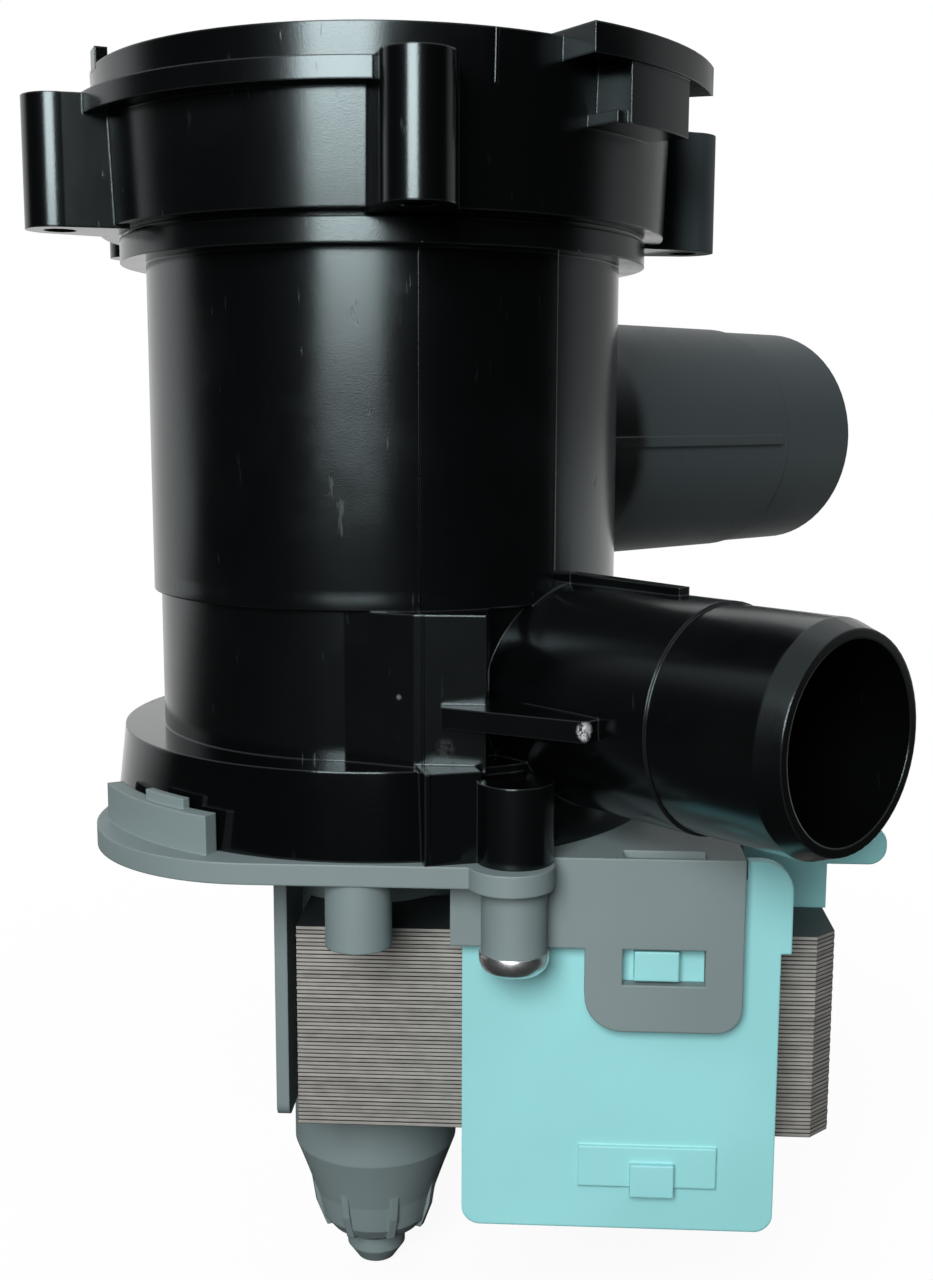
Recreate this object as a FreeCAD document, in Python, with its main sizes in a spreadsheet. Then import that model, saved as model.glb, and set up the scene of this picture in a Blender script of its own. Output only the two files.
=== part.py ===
import FreeCAD, Part
import Sketcher
import math
import os
import re
from FreeCAD import Placement, Rotation, Vector

# Washing machine drain pump with filter chamber.
# Millimetres, +Z towards the filter cap. Every piece is drawn from the joint plane between the
# black pump housing and the grey motor flange, on the axis of the filter barrel or of the rotor,
# and placed so that the origin is on the barrel axis in the plane of the four screw boss tops.

os.makedirs("parts", exist_ok=True)
doc = FreeCAD.newDocument("drain_pump")
sheet = doc.addObject("Spreadsheet::Sheet", "Sizes")

SIZES = {
    # pump housing: base ring, barrel, bead and collar
    "base_radius": 35.2,
    "base_top_radius": 34.0,
    "base_height": 10.2,
    "lower_barrel_radius": 29.0,
    "barrel_radius": 29.9,
    "barrel_step_height": 27.7,
    "bead_radius": 33.05,
    "bead_bottom": 68.0,
    "bead_top": 70.8,
    "neck_radius": 32.4,
    "collar_bottom": 71.4,
    "collar_radius": 35.3,
    "collar_rim_radius": 36.0,
    "collar_top": 90.0,
    "mouth_radius": 32.0,
    "mouth_floor": 74.0,
    "chamber_radius": 27.5,
    "partition_top": 30.5,
    "partition_thickness": 2.5,
    "volute_radius": 26.5,
    "eye_radius": 9.5,
    "rotor_x": -1.7,
    # volute bulge on the barrel and the screw bosses on the base ring
    "bulge_left": -3.0,
    "bulge_face_left": 6.5,
    "bulge_right": 14.6,
    "bulge_face": 31.5,
    "lobe_angle": -72.4,
    "lobe_reach": 36.8,
    "lobe_width": 6.4,
    "base_boss_inset": 0.9,
    "base_boss_radius": 4.4,
    "base_boss_height": 9.3,
    "screw_depth": 7.5,
    "screw_radius": 1.5,
    "screw_clearance": 0.1,
    # outlet spigot
    "outlet_angle": -45.0,
    "outlet_offset": 5.2,
    "outlet_height": 16.7,
    "outlet_length": 69.2,
    "outlet_radius": 12.85,
    "outlet_face_radius": 11.9,
    "outlet_chamfer": 2.7,
    "outlet_land": 14.0,
    "outlet_bore_radius": 10.84,
    "spigot_root": 20.0,
    "fin_start": 24.4,
    "fin_end": 46.6,
    "fin_root_height": 31.2,
    "fin_end_height": 30.8,
    "fin_thickness": 1.7,
    "gusset_bottom": 15.1,
    "gusset_thickness": 2.4,
    "gusset_reach": 40.0,
    "gusset_right": 25.6,
    # inlet spigot
    "inlet_angle": 45.0,
    "inlet_height": 46.0,
    "inlet_length": 81.0,
    "inlet_radius": 16.4,
    "inlet_face_radius": 15.6,
    "inlet_chamfer": 1.2,
    "inlet_land": 16.0,
    "land_step": 0.3,
    "inlet_bore_radius": 14.0,
    "side_rib_reach": 17.2,
    "side_rib_thickness": 1.4,
    "side_rib_end": 62.0,
    # screw bosses and flanges of the collar
    "boss_circle": 40.5,
    "boss_radius": 4.0,
    "boss_hole_radius": 1.9,
    "boss_bottom": 71.0,
    "boss_top": 86.0,
    "boss_web_half": 5.2,
    "boss_a_angle": -154.0,
    "boss_b_angle": -79.0,
    "boss_c_angle": 16.5,
    "boss_d_angle": 154.0,
    "left_flange_radius": 38.4,
    "left_flange_bottom": 83.7,
    "left_flange_thickness": 2.4,
    "left_flange_start": -148.6,
    "left_flange_end": -83.0,
    "right_flange_radius": 41.3,
    "right_flange_bottom": 87.4,
    "right_flange_thickness": 3.2,
    "right_flange_start": -51.5,
    "right_flange_end": -12.0,
    "lug_start": -43.0,
    "lug_end": -25.5,
    "lug_radius": 40.8,
    "lug_bottom": 81.0,
    "lug_foot_thickness": 1.3,
    "lug_foot_start": -45.2,
    "clip_angle": -155.0,
    "clip_width": 3.0,
    "clip_height": 2.0,
    # motor flange
    "plate_thickness": 2.5,
    "plate_left": 34.5,
    "plate_half_width": 36.0,
    "plate_corner": 22.0,
    "ear_x": 17.6,
    "ear_y": 34.2,
    "ear_radius": 5.0,
    "hood_left": 10.6,
    "hood_right": 44.2,
    "hood_half_width": 31.5,
    "hood_wall": 1.7,
    "hood_end_wall": 1.0,
    "hood_bottom": 10.7,
    "tab_left": 26.1,
    "tab_bottom": 20.6,
    "tab_left_corner": 4.3,
    "tab_right_corner": 3.0,
    "window_left": 30.4,
    "window_right": 39.9,
    "window_height": 4.3,
    "slot_depth": 1.2,
    "stud_x": 0.1,
    "stud_y": 32.0,
    "stud_radius": 3.85,
    "stud_bottom": 10.5,
    "flange_boss_x": 18.0,
    "flange_boss_y": 33.7,
    "flange_boss_radius": 3.75,
    "flange_boss_relief": 0.5,
    "screw_head_radius": 4.0,
    "screw_head_height": 2.7,
    "screw_head_clearance": 0.2,
    "clip_wall_inner": 35.6,
    "clip_wall_outer": 37.5,
    "clip_wall_start": 117.2,
    "clip_wall_end": 150.6,
    "clip_wall_top": 4.6,
    "clip_inner_start": 123.8,
    "clip_inner_end": 135.0,
    "clip_inner_top": 5.8,
    "clip_inner_outer": 36.6,
    "end_wall_x": -12.0,
    "end_wall_thickness": 1.6,
    "end_wall_half": 19.5,
    "end_wall_bottom": 38.2,
    "end_wall_corner": 1.8,
    "can_radius": 11.1,
    "can_bore_radius": 10.0,
    "can_shoulder": 49.0,
    "can_floor": 46.5,
    "tail_ledge_drop": 4.0,
    "tail_ledge_radius": 9.6,
    "tail_waist_drop": 3.4,
    "tail_radius": 8.4,
    "tail_low_drop": 3.7,
    "tail_low_radius": 7.6,
    "nipple_drop": 3.1,
    "nipple_length": 4.0,
    "nipple_radius": 4.0,
    "tail_rib_radius": 9.3,
    "tail_rib_thickness": 1.1,
    "tail_rib_count": 8,
    "locating_rim_wall": 1.6,
    "locating_rim_height": 1.5,
    "locating_clearance": 0.3,
    "gasket_inner": 29.0,
    "gasket_outer": 31.6,
    "gasket_depth": 1.3,
    "gasket_clearance": 0.1,
    # stator
    "core_half_width": 21.0,
    "core_leg_width": 13.0,
    "core_left": -9.0,
    "core_right": 56.8,
    "core_yoke_width": 10.3,
    "core_chamfer": 2.5,
    "core_top": 12.4,
    "lamination_pitch": 0.514,
    "lamination_count": 50,
    "pole_radius": 11.5,
    # bobbins and windings
    "bobbin_clearance": 0.2,
    "bobbin_wall": 1.0,
    "bobbin_left": 13.8,
    "bobbin_right": 46.0,
    "bobbin_flange": 1.2,
    "winding_thickness": 4.65,
    "winding_clearance": 0.1,
    "winding_rounding": 2.0,
    "flange_overlap": 0.35,
    # coil cover
    "cover_left": 11.9,
    "cover_right": 48.7,
    "cover_half_width": 29.5,
    "cover_top": 2.8,
    "cover_wall": 1.5,
    "cover_corner": 2.2,
    "cover_slot_clearance": 0.3,
    "wing_left": 44.6,
    "wing_right": 49.9,
    "wing_bottom": 11.6,
    "wing_top": 0.6,
    "wing_corner": 3.6,
    "nub_left": 31.8,
    "nub_right": 36.9,
    "nub_reach": 1.6,
    "nub_clearance": 0.4,
    "bar_left": 25.7,
    "bar_right": 41.9,
    "bar_top": 35.5,
    "bar_bottom": 40.5,
    "bar_reach": 0.5,
    "low_nub_top": 37.4,
    "low_nub_bottom": 41.4,
    "low_nub_reach": 1.3,
    # terminal shroud and spade terminals
    "shroud_left": 46.6,
    "shroud_right": 57.2,
    "shroud_half_width": 9.7,
    "shroud_top": 0.8,
    "shroud_wall": 1.3,
    "shroud_seat": 0.2,
    "shroud_tab_right": 64.6,
    "shroud_tab_top": 1.6,
    "shroud_tab_thickness": 5.0,
    "spade_width": 6.3,
    "spade_thickness": 0.8,
    "spade_spacing": 9.4,
    "spade_length": 9.0,
    # rotor
    "magnet_radius": 9.3,
    "hub_radius": 6.0,
    "shaft_radius": 1.5,
    "shaft_bottom": 52.0,
    "shaft_top": 13.4,
    "running_clearance": 0.05,
    "seat_clearance": 0.05,
    "hub_bottom": 44.6,
    "hub_top": 8.6,
    "washer_radius": 3.2,
    "washer_thickness": 0.8,
    "bearing_radius": 3.5,
    "bearing_length": 4.4,
    "bearing_mount_radius": 5.5,
    "bearing_pocket_floor": 53.3,
    "bearing_mount_floor": 0.8,
    "rear_bearing_top": 47.2,
    "bearing_cover_flange_radius": 12.8,
    "bearing_cover_flange": 1.2,
    "bearing_cover_plug": 7.0,
    "front_bearing_top": 1.6,
    "cover_seal_section": 1.4,
    "cover_seal_top": 2.4,
    "shaft_seal_radius": 3.6,
    "shaft_seal_height": 1.2,
    # impeller and its lost-motion clutch
    "impeller_bottom": 3.4,
    "impeller_disc": 1.5,
    "impeller_radius": 21.0,
    "blade_top": 19.0,
    "blade_thickness": 1.6,
    "blade_count": 6,
    "impeller_hub_radius": 8.0,
    "clutch_bore_radius": 6.2,
    "clutch_bottom": 5.2,
    "clutch_top": 15.4,
    "clutch_stop_angle": 110.0,
    "clutch_stop_radius": 3.6,
    "driver_radius": 3.2,
    "driver_lug_radius": 5.8,
    "driver_lug_angle": 60.0,
    "driver_clearance": 0.4,
    "impeller_cap_height": 2.4,
    # filter cap, cage and seal
    "cap_radius": 31.6,
    "cap_bottom": 76.5,
    "cap_top": 88.5,
    "cap_plate": 2.0,
    "cap_plate_bottom": 80.4,
    "cap_skirt_inner": 27.6,
    "cap_recess_radius": 28.6,
    "grip_length": 54.0,
    "grip_width": 5.0,
    "filter_seal_inner": 28.6,
    "filter_seal_outer": 31.4,
    "filter_seal_height": 2.2,
    "cage_top_radius": 27.4,
    "cage_radius": 24.5,
    "cage_wall": 1.8,
    "cage_bottom": 34.0,
    "cage_floor": 1.8,
    "cage_drain_radius": 8.0,
    "cage_window_width": 9.5,
    "cage_window_bottom": 40.0,
    "cage_window_top": 70.0,
    "cage_window_count": 8,
}
# heights that follow from the sizes above, each worked out in the sheet
DERIVED = {
    "flange_boss_bottom": "hood_bottom - flange_boss_relief",
    "tail_ledge": "can_shoulder + tail_ledge_drop",
    "tail_waist": "tail_ledge + tail_waist_drop",
    "tail_low": "tail_waist + tail_low_drop",
    "nipple_top": "tail_low + nipple_drop",
    "nipple_bottom": "nipple_top + nipple_length",
    "stack_bottom": "core_top + lamination_pitch * lamination_count",
    "cover_bottom": "stack_bottom + 2 * bobbin_clearance + bobbin_wall + winding_thickness + flange_overlap + cover_wall",
}
for row, (alias, number) in enumerate({**SIZES, **DERIVED}.items(), start=1):
    sheet.set("A%d" % row, alias)
    sheet.set("B%d" % row, repr(number) if alias in SIZES else "=" + number)
    sheet.setAlias("B%d" % row, alias)
doc.recompute()

nodes = []


def ex(text):
    """The same formula with the sheet's name before each of its sizes."""
    return re.sub(r"[a-z_][a-z0-9_]*", lambda m: "Sizes." + m.group(0) if m.group(0) in SIZES or m.group(0) in DERIVED else m.group(0),
                  str(text))


def val(text):
    """What a formula comes to now, as a plain number."""
    answer = sheet.evalExpression(ex(text))
    return float(getattr(answer, "Value", answer))


def new_body(label, x="0"):
    """A piece drawn about the vertical axis at x, and set down from the joint plane."""
    body = doc.addObject("PartDesign::Body", label)
    body.Label = label
    body.setExpression("Placement.Base.x", ex(x))
    body.setExpression("Placement.Base.z", ex("-boss_top"))
    nodes.append(body)
    return body


def plane(body, role):
    return [item for item in body.Origin.OriginFeatures if item.Role == role][0]


def new_sketch(body, name, role, base=("0", "0", "0"), turn=None):
    """A sketch on one of the body's origin planes, shifted by base and turned about the plane's axis."""
    sketch = body.newObject("Sketcher::SketchObject", name)
    sketch.AttachmentSupport = (plane(body, role), [""])
    sketch.MapMode = "FlatFace"
    axis = Vector(0, 0, 1) if role == "XY_Plane" else Vector(0, 1, 0)
    sketch.AttachmentOffset = Placement(Vector(0, 0, 0), Rotation(axis, 1 if turn else 0))
    for letter, formula in zip("xyz", base):
        if formula != "0":
            sketch.setExpression(".AttachmentOffset.Base." + letter, ex(formula))
    if turn:
        sketch.setExpression(".AttachmentOffset.Rotation.Angle", ex(turn))
    return sketch


def hold(sketch, kind, geometry, point, formula):
    """Ties one coordinate of a point to a formula."""
    index = sketch.addConstraint(Sketcher.Constraint(kind, -1, 1, geometry, point, val(formula)))
    sketch.setExpression("Constraints[%d]" % index, ex(formula))


def outline(sketch, corners, arcs=None):
    """A closed outline through the corners. arcs gives the centre and sense of the sides that are arcs."""
    arcs = arcs or {}
    spots = [Vector(val(x), val(y), 0) for x, y in corners]
    first = sketch.GeometryCount
    for i, start in enumerate(spots):
        end = spots[(i + 1) % len(spots)]
        if i in arcs:
            cx, cy, sense = arcs[i]
            centre = Vector(val(cx), val(cy), 0)
            a = math.atan2(start.y - centre.y, start.x - centre.x)
            b = math.atan2(end.y - centre.y, end.x - centre.x)
            low, high = (a, b) if sense > 0 else (b, a)
            if high < low:
                high += 2 * math.pi
            circle = Part.Circle(centre, Vector(0, 0, 1), (start - centre).Length)
            sketch.addGeometry(Part.ArcOfCircle(circle, low, high))
        else:
            sketch.addGeometry(Part.LineSegment(start, end))

    def ends(i):
        return (2, 1) if i in arcs and arcs[i][2] < 0 else (1, 2)

    for i in range(len(spots)):
        j = (i + 1) % len(spots)
        sketch.addConstraint(Sketcher.Constraint("Coincident", first + i, ends(i)[1], first + j, ends(j)[0]))
        hold(sketch, "DistanceX", first + i, ends(i)[0], corners[i][0])
        hold(sketch, "DistanceY", first + i, ends(i)[0], corners[i][1])
        if i in arcs:
            chord = spots[j] - spots[i]
            if abs(chord.y) > abs(chord.x):
                hold(sketch, "DistanceX", first + i, 3, arcs[i][0])
            else:
                hold(sketch, "DistanceY", first + i, 3, arcs[i][1])
    return sketch


def circle(sketch, x, y, radius):
    index = sketch.addGeometry(Part.Circle(Vector(val(x), val(y), 0), Vector(0, 0, 1), val(radius)))
    hold(sketch, "DistanceX", index, 3, x)
    hold(sketch, "DistanceY", index, 3, y)
    constraint = sketch.addConstraint(Sketcher.Constraint("Radius", index, val(radius)))
    sketch.setExpression("Constraints[%d]" % constraint, ex(radius))
    return sketch


def box_outline(sketch, x0, x1, y0, y1):
    return outline(sketch, [(x0, y0), (x1, y0), (x1, y1), (x0, y1)])


def pad(body, sketch, length, name, both_sides=False, taper=None):
    feature = body.newObject("PartDesign::Pad", name)
    feature.Profile = sketch
    feature.setExpression("Length", ex(length))
    feature.Midplane = both_sides
    if taper:
        feature.TaperAngle = taper
    return feature


def pocket(body, sketch, depth, name, both_sides=False):
    """A cut from the sketch's plane against its normal."""
    doc.recompute()
    before = body.Shape.Volume
    feature = body.newObject("PartDesign::Pocket", name)
    feature.Profile = sketch
    feature.setExpression("Length", ex(depth))
    feature.Midplane = both_sides
    doc.recompute()
    if feature.Shape.Volume >= before - 1e-6:
        raise RuntimeError("%s in %s cuts nothing" % (name, body.Label))
    return feature


def revolve(body, sketch, name, axis="V_Axis"):
    feature = body.newObject("PartDesign::Revolution", name)
    feature.Profile = sketch
    feature.ReferenceAxis = (sketch, [axis])
    feature.Angle = 360
    return feature


def groove(body, sketch, name, axis="V_Axis"):
    doc.recompute()
    before = body.Shape.Volume
    feature = body.newObject("PartDesign::Groove", name)
    feature.Profile = sketch
    feature.ReferenceAxis = (sketch, [axis])
    feature.Angle = 360
    doc.recompute()
    if feature.Shape.Volume >= before - 1e-6:
        raise RuntimeError("%s in %s cuts nothing" % (name, body.Label))
    return feature


def round_edges(body, name, axis, spots, radius, chamfer=False):
    """Rounds or bevels the straight edges along an axis that pass the given spots of the other two."""
    doc.recompute()
    keep = {"x": ("y", "z"), "y": ("x", "z"), "z": ("x", "y")}[axis]
    found = []
    for spot in spots:
        target = [val(value) for value in spot]
        for number, edge in enumerate(body.Shape.Edges, start=1):
            if len(edge.Vertexes) != 2 or edge.Curve.TypeId != "Part::GeomLine":
                continue
            ends = [body.Placement.inverse().multVec(v.Point) for v in edge.Vertexes]
            near = all(abs(getattr(p, k) - t) < 0.02 for p in ends for k, t in zip(keep, target))
            if near and "Edge%d" % number not in found:
                found.append("Edge%d" % number)
    if len(found) < len(spots):
        raise RuntimeError("%s in %s finds %d of %d edges" % (name, body.Label, len(found), len(spots)))
    base = body.Tip
    feature = body.newObject("PartDesign::Chamfer" if chamfer else "PartDesign::Fillet", name)
    feature.Base = (base, found)
    feature.setExpression("Size" if chamfer else "Radius", ex(radius))
    return feature


def polar(body, feature, count, name):
    pattern = body.newObject("PartDesign::PolarPattern", name)
    pattern.Originals = [feature]
    pattern.Axis = (plane(body, "Z_Axis"), [""])
    pattern.Angle = 360
    pattern.setExpression("Occurrences", ex(count))
    body.Tip = pattern
    return pattern


def around(radius, angle):
    """The two coordinates of a spot at this radius and angle in degrees."""
    return ("(%s) * cos((%s) * 1deg)" % (radius, angle), "(%s) * sin((%s) * 1deg)" % (radius, angle))


def sector(sketch, inner, outer, start, end):
    """A piece of a ring between two angles."""
    corners = [around(outer, start), around(outer, end), around(inner, end), around(inner, start)]
    return outline(sketch, corners, {0: ("0", "0", 1), 2: ("0", "0", -1)})


def ring(sketch, inner, outer):
    circle(sketch, "0", "0", inner)
    return circle(sketch, "0", "0", outer)


def spigot_plane(body, name, angle, offset, height):
    """An upright sketch along a spigot, with the spigot's axis as its horizontal line."""
    side = "-(%s) * sin((%s) * 1deg)" % (offset, angle)
    ahead = "-(%s) * cos((%s) * 1deg)" % (offset, angle)
    return new_sketch(body, name, "XZ_Plane", (side, height, ahead), angle)


# pump housing: solid barrel first, with everything that stands on it, then the hollows
housing = new_body("pump_housing")
barrel = outline(new_sketch(housing, "barrel_profile", "XZ_Plane"), [
    ("0", "0"), ("base_radius", "0"), ("base_top_radius", "base_height"),
    ("lower_barrel_radius", "base_height"), ("lower_barrel_radius", "barrel_step_height"),
    ("barrel_radius", "barrel_step_height"), ("barrel_radius", "bead_bottom"),
    ("bead_radius", "bead_bottom"), ("bead_radius", "bead_top"), ("neck_radius", "bead_top"),
    ("neck_radius", "collar_bottom"), ("collar_radius", "collar_bottom"),
    ("collar_rim_radius", "collar_top"), ("0", "collar_top")])
revolve(housing, barrel, "barrel")

bulge = outline(new_sketch(housing, "bulge_profile", "XY_Plane", ("0", "0", "base_height - 0.5")), [
    ("bulge_left", "-sqrt(lower_barrel_radius ^ 2 - bulge_left ^ 2) + 0.3"), ("bulge_face_left", "-bulge_face"),
    ("bulge_right", "-bulge_face"), ("bulge_right", "-bulge_face * 0.7"), ("bulge_left", "-bulge_face * 0.7")])
pad(housing, bulge, "barrel_step_height - base_height + 0.5", "volute_bulge")

lobe = new_sketch(housing, "lobe_profile", "XY_Plane", turn="lobe_angle")
box_outline(lobe, "lobe_reach - 6", "lobe_reach", "-lobe_width / 2", "lobe_width / 2")
pad(housing, lobe, "base_height + 0.3", "base_lobe")
for side, sign in (("front", "-"), ("rear", "")):
    boss = new_sketch(housing, "base_boss_%s_profile" % side, "XY_Plane")
    circle(boss, "flange_boss_x", sign + "(flange_boss_y - base_boss_inset)", "base_boss_radius")
    pad(housing, boss, "base_boss_height", "base_boss_" + side)

tube = spigot_plane(housing, "outlet_profile", "outlet_angle", "outlet_offset", "outlet_height")
outline(tube, [
    ("spigot_root", "0"), ("outlet_length", "0"), ("outlet_length", "outlet_face_radius"),
    ("outlet_length - outlet_chamfer", "outlet_radius"),
    ("outlet_length - outlet_chamfer - outlet_land", "outlet_radius"),
    ("outlet_length - outlet_chamfer - outlet_land", "outlet_radius + land_step"),
    ("spigot_root", "outlet_radius + land_step")])
revolve(housing, tube, "outlet_spigot", "H_Axis")
fin = spigot_plane(housing, "fin_profile", "outlet_angle", "outlet_offset", "0")
outline(fin, [("fin_start", "outlet_height + outlet_radius - 3"), ("fin_end", "outlet_height + outlet_radius - 3"),
              ("fin_end", "fin_end_height"), ("fin_start", "fin_root_height")])
pad(housing, fin, "fin_thickness", "outlet_fin", both_sides=True)
gusset = new_sketch(housing, "gusset_profile", "XY_Plane", ("0", "0", "gusset_bottom"))
outline(gusset, [
    ("bulge_right - 5", "-bulge_face - 1.5"), ("gusset_right", "-gusset_reach"),
    ("gusset_right + 3", "-gusset_reach + 4"), ("bulge_right - 5", "-bulge_face + 7")])
pad(housing, gusset, "gusset_thickness", "outlet_gusset")

tube = spigot_plane(housing, "inlet_profile", "inlet_angle", "0", "inlet_height")
outline(tube, [
    ("spigot_root", "0"), ("inlet_length", "0"), ("inlet_length", "inlet_face_radius"),
    ("inlet_length - inlet_chamfer", "inlet_radius"),
    ("inlet_length - inlet_chamfer - inlet_land", "inlet_radius"),
    ("inlet_length - inlet_chamfer - inlet_land", "inlet_radius + land_step"),
    ("spigot_root", "inlet_radius + land_step")])
revolve(housing, tube, "inlet_spigot", "H_Axis")
rib = new_sketch(housing, "side_rib_profile", "XY_Plane", ("0", "0", "inlet_height"), "inlet_angle")
box_outline(rib, "spigot_root", "side_rib_end", "-side_rib_reach", "side_rib_reach")
pad(housing, rib, "side_rib_thickness", "inlet_side_ribs", both_sides=True)

for letter in "abcd":
    angle = "boss_%s_angle" % letter
    drum = "collar_radius - 2"
    web = new_sketch(housing, "boss_%s_profile" % letter, "XY_Plane", ("0", "0", "boss_bottom"), angle)
    outline(web, [(drum, "-boss_web_half"), ("boss_circle", "-boss_radius"), ("boss_circle", "boss_radius"),
                  (drum, "boss_web_half")], {1: ("boss_circle", "0", 1)})
    pad(housing, web, "boss_top - boss_bottom", "boss_" + letter)
left_flange = new_sketch(housing, "left_flange_profile", "XY_Plane", ("0", "0", "left_flange_bottom"))
sector(left_flange, "collar_radius - 2", "left_flange_radius", "left_flange_start", "left_flange_end")
pad(housing, left_flange, "left_flange_thickness", "left_flange")
right_flange = new_sketch(housing, "right_flange_profile", "XY_Plane", ("0", "0", "right_flange_bottom"))
sector(right_flange, "collar_radius - 2", "right_flange_radius", "right_flange_start", "right_flange_end")
pad(housing, right_flange, "right_flange_thickness", "right_flange")
lug = new_sketch(housing, "lug_profile", "XY_Plane", ("0", "0", "lug_bottom"))
sector(lug, "collar_radius - 2", "lug_radius", "lug_start", "lug_end")
pad(housing, lug, "right_flange_bottom - lug_bottom + 0.5", "hook_lug")
foot = new_sketch(housing, "lug_foot_profile", "XY_Plane", ("0", "0", "lug_bottom"))
sector(foot, "collar_radius - 2", "lug_radius - 0.6", "lug_foot_start", "lug_end")
pad(housing, foot, "lug_foot_thickness", "hook_lug_foot")
clip = new_sketch(housing, "clip_profile", "XY_Plane", ("0", "0", "collar_top - 0.5"), "clip_angle")
box_outline(clip, "collar_rim_radius - 1.5", "collar_rim_radius", "-clip_width / 2", "clip_width / 2")
pad(housing, clip, "clip_height + 0.5", "rim_clip")

chamber = outline(new_sketch(housing, "chamber_profile", "XZ_Plane"), [
    ("0", "partition_top"), ("chamber_radius", "partition_top"), ("chamber_radius", "mouth_floor"),
    ("mouth_radius", "mouth_floor"), ("mouth_radius", "collar_top + 5"), ("0", "collar_top + 5")])
groove(housing, chamber, "filter_chamber")
volute = new_sketch(housing, "volute_profile", "XY_Plane", ("0", "0", "partition_top - partition_thickness"))
circle(volute, "0", "0", "volute_radius")
pocket(housing, volute, "partition_top", "volute_chamber")
eye = circle(new_sketch(housing, "eye_profile", "XY_Plane", ("0", "0", "partition_top + 1")),
             "rotor_x", "0", "eye_radius")
pocket(housing, eye, "partition_thickness + 2", "eye")
bore = spigot_plane(housing, "outlet_bore_profile", "outlet_angle", "outlet_offset", "outlet_height")
box_outline(bore, "spigot_root - 2", "outlet_length + 2", "0", "outlet_bore_radius")
groove(housing, bore, "outlet_bore", "H_Axis")
bore = spigot_plane(housing, "inlet_bore_profile", "inlet_angle", "0", "inlet_height")
box_outline(bore, "spigot_root", "inlet_length + 2", "0", "inlet_bore_radius")
groove(housing, bore, "inlet_bore", "H_Axis")
for letter in "abcd":
    hole = new_sketch(housing, "boss_%s_hole_profile" % letter, "XY_Plane", ("0", "0", "boss_top + 8"),
                      "boss_%s_angle" % letter)
    circle(hole, "boss_circle", "0", "boss_hole_radius")
    pocket(housing, hole, "boss_top - boss_bottom + 10", "boss_%s_hole" % letter)
for side, sign in (("front", "-"), ("rear", "")):
    hole = new_sketch(housing, "screw_%s_hole_profile" % side, "XY_Plane", ("0", "0", "screw_depth + 0.5"))
    circle(hole, "flange_boss_x", sign + "flange_boss_y", "screw_radius + screw_clearance")
    pocket(housing, hole, "screw_depth + 2", "screw_%s_hole" % side)

# motor flange: plate, hood over the coils, latch tabs, end wall and the wet rotor can in one moulding
flange = new_body("motor_flange")
plate = new_sketch(flange, "plate_profile", "XY_Plane", ("0", "0", "-plate_thickness"))
box_outline(plate, "-plate_left", "ear_x", "-plate_half_width", "plate_half_width")
pad(flange, plate, "plate_thickness", "plate")
round_edges(flange, "plate_corners", "z",
            [("-plate_left", "-plate_half_width"), ("-plate_left", "plate_half_width")], "plate_corner")
for side, sign in (("front", "-"), ("rear", "")):
    ear = new_sketch(flange, "ear_%s_profile" % side, "XY_Plane", ("0", "0", "-plate_thickness"))
    circle(ear, "ear_x", sign + "ear_y", "ear_radius")
    pad(flange, ear, "plate_thickness", "ear_" + side)
hood = new_sketch(flange, "hood_profile", "XY_Plane", ("0", "0", "-hood_bottom"))
box_outline(hood, "hood_left", "hood_right", "-hood_half_width", "hood_half_width")
pad(flange, hood, "hood_bottom", "hood")
inside = new_sketch(flange, "hood_hollow_profile", "XY_Plane", ("0", "0", "-plate_thickness"))
box_outline(inside, "hood_left + hood_end_wall", "hood_right + 1", "-hood_half_width + hood_wall",
            "hood_half_width - hood_wall")
pocket(flange, inside, "hood_bottom", "hood_hollow")
for side, start in (("front", "hood_half_width - hood_wall"), ("rear", "-hood_half_width")):
    edge = "-hood_half_width" if side == "front" else "hood_half_width - hood_wall"
    tab = new_sketch(flange, "tab_%s_profile" % side, "XZ_Plane", ("0", "0", start))
    left, right, low = "tab_left + tab_left_corner", "hood_right - tab_right_corner", "-tab_bottom"
    outline(tab, [
        ("tab_left", "-hood_bottom + 1"), ("tab_left", "-tab_bottom + tab_left_corner"), (left, low),
        (right, low), ("hood_right", "-tab_bottom + tab_right_corner"), ("hood_right", "-hood_bottom + 1")],
        {1: (left, "-tab_bottom + tab_left_corner", 1), 3: (right, "-tab_bottom + tab_right_corner", 1)})
    pad(flange, tab, "hood_wall", "latch_tab_" + side)
    window = new_sketch(flange, "window_%s_profile" % side, "XZ_Plane", ("0", "0", start + " - 1"))
    box_outline(window, "window_left", "window_right", "-hood_bottom - window_height", "-hood_bottom")
    window_cut = flange.newObject("PartDesign::Pocket", "latch_window_" + side)
    window_cut.Profile = window
    window_cut.Reversed = True
    window_cut.setExpression("Length", ex("hood_wall + 2"))
    slot = new_sketch(flange, "slot_%s_profile" % side, "XY_Plane")
    if side == "front":
        box_outline(slot, "window_left", "window_right", "-hood_half_width + 0.5", "-hood_half_width + 3.5")
    else:
        box_outline(slot, "window_left", "window_right", "hood_half_width - 3.5", "hood_half_width - 0.5")
    pocket(flange, slot, "slot_depth", "hood_slot_" + side)
for side, sign in (("front", "-"), ("rear", "")):
    stud = new_sketch(flange, "stud_%s_profile" % side, "XY_Plane", ("0", "0", "-stud_bottom"))
    circle(stud, "stud_x", sign + "stud_y", "stud_radius")
    pad(flange, stud, "stud_bottom - plate_thickness / 2", "stud_" + side)
    boss = new_sketch(flange, "flange_boss_%s_profile" % side, "XY_Plane", ("0", "0", "-flange_boss_bottom"))
    circle(boss, "flange_boss_x", sign + "flange_boss_y", "flange_boss_radius")
    pad(flange, boss, "flange_boss_bottom - plate_thickness / 2", "flange_boss_" + side)
end_wall = new_sketch(flange, "end_wall_profile", "YZ_Plane", ("0", "0", "end_wall_x"))
corner = "end_wall_half - end_wall_corner"
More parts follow.
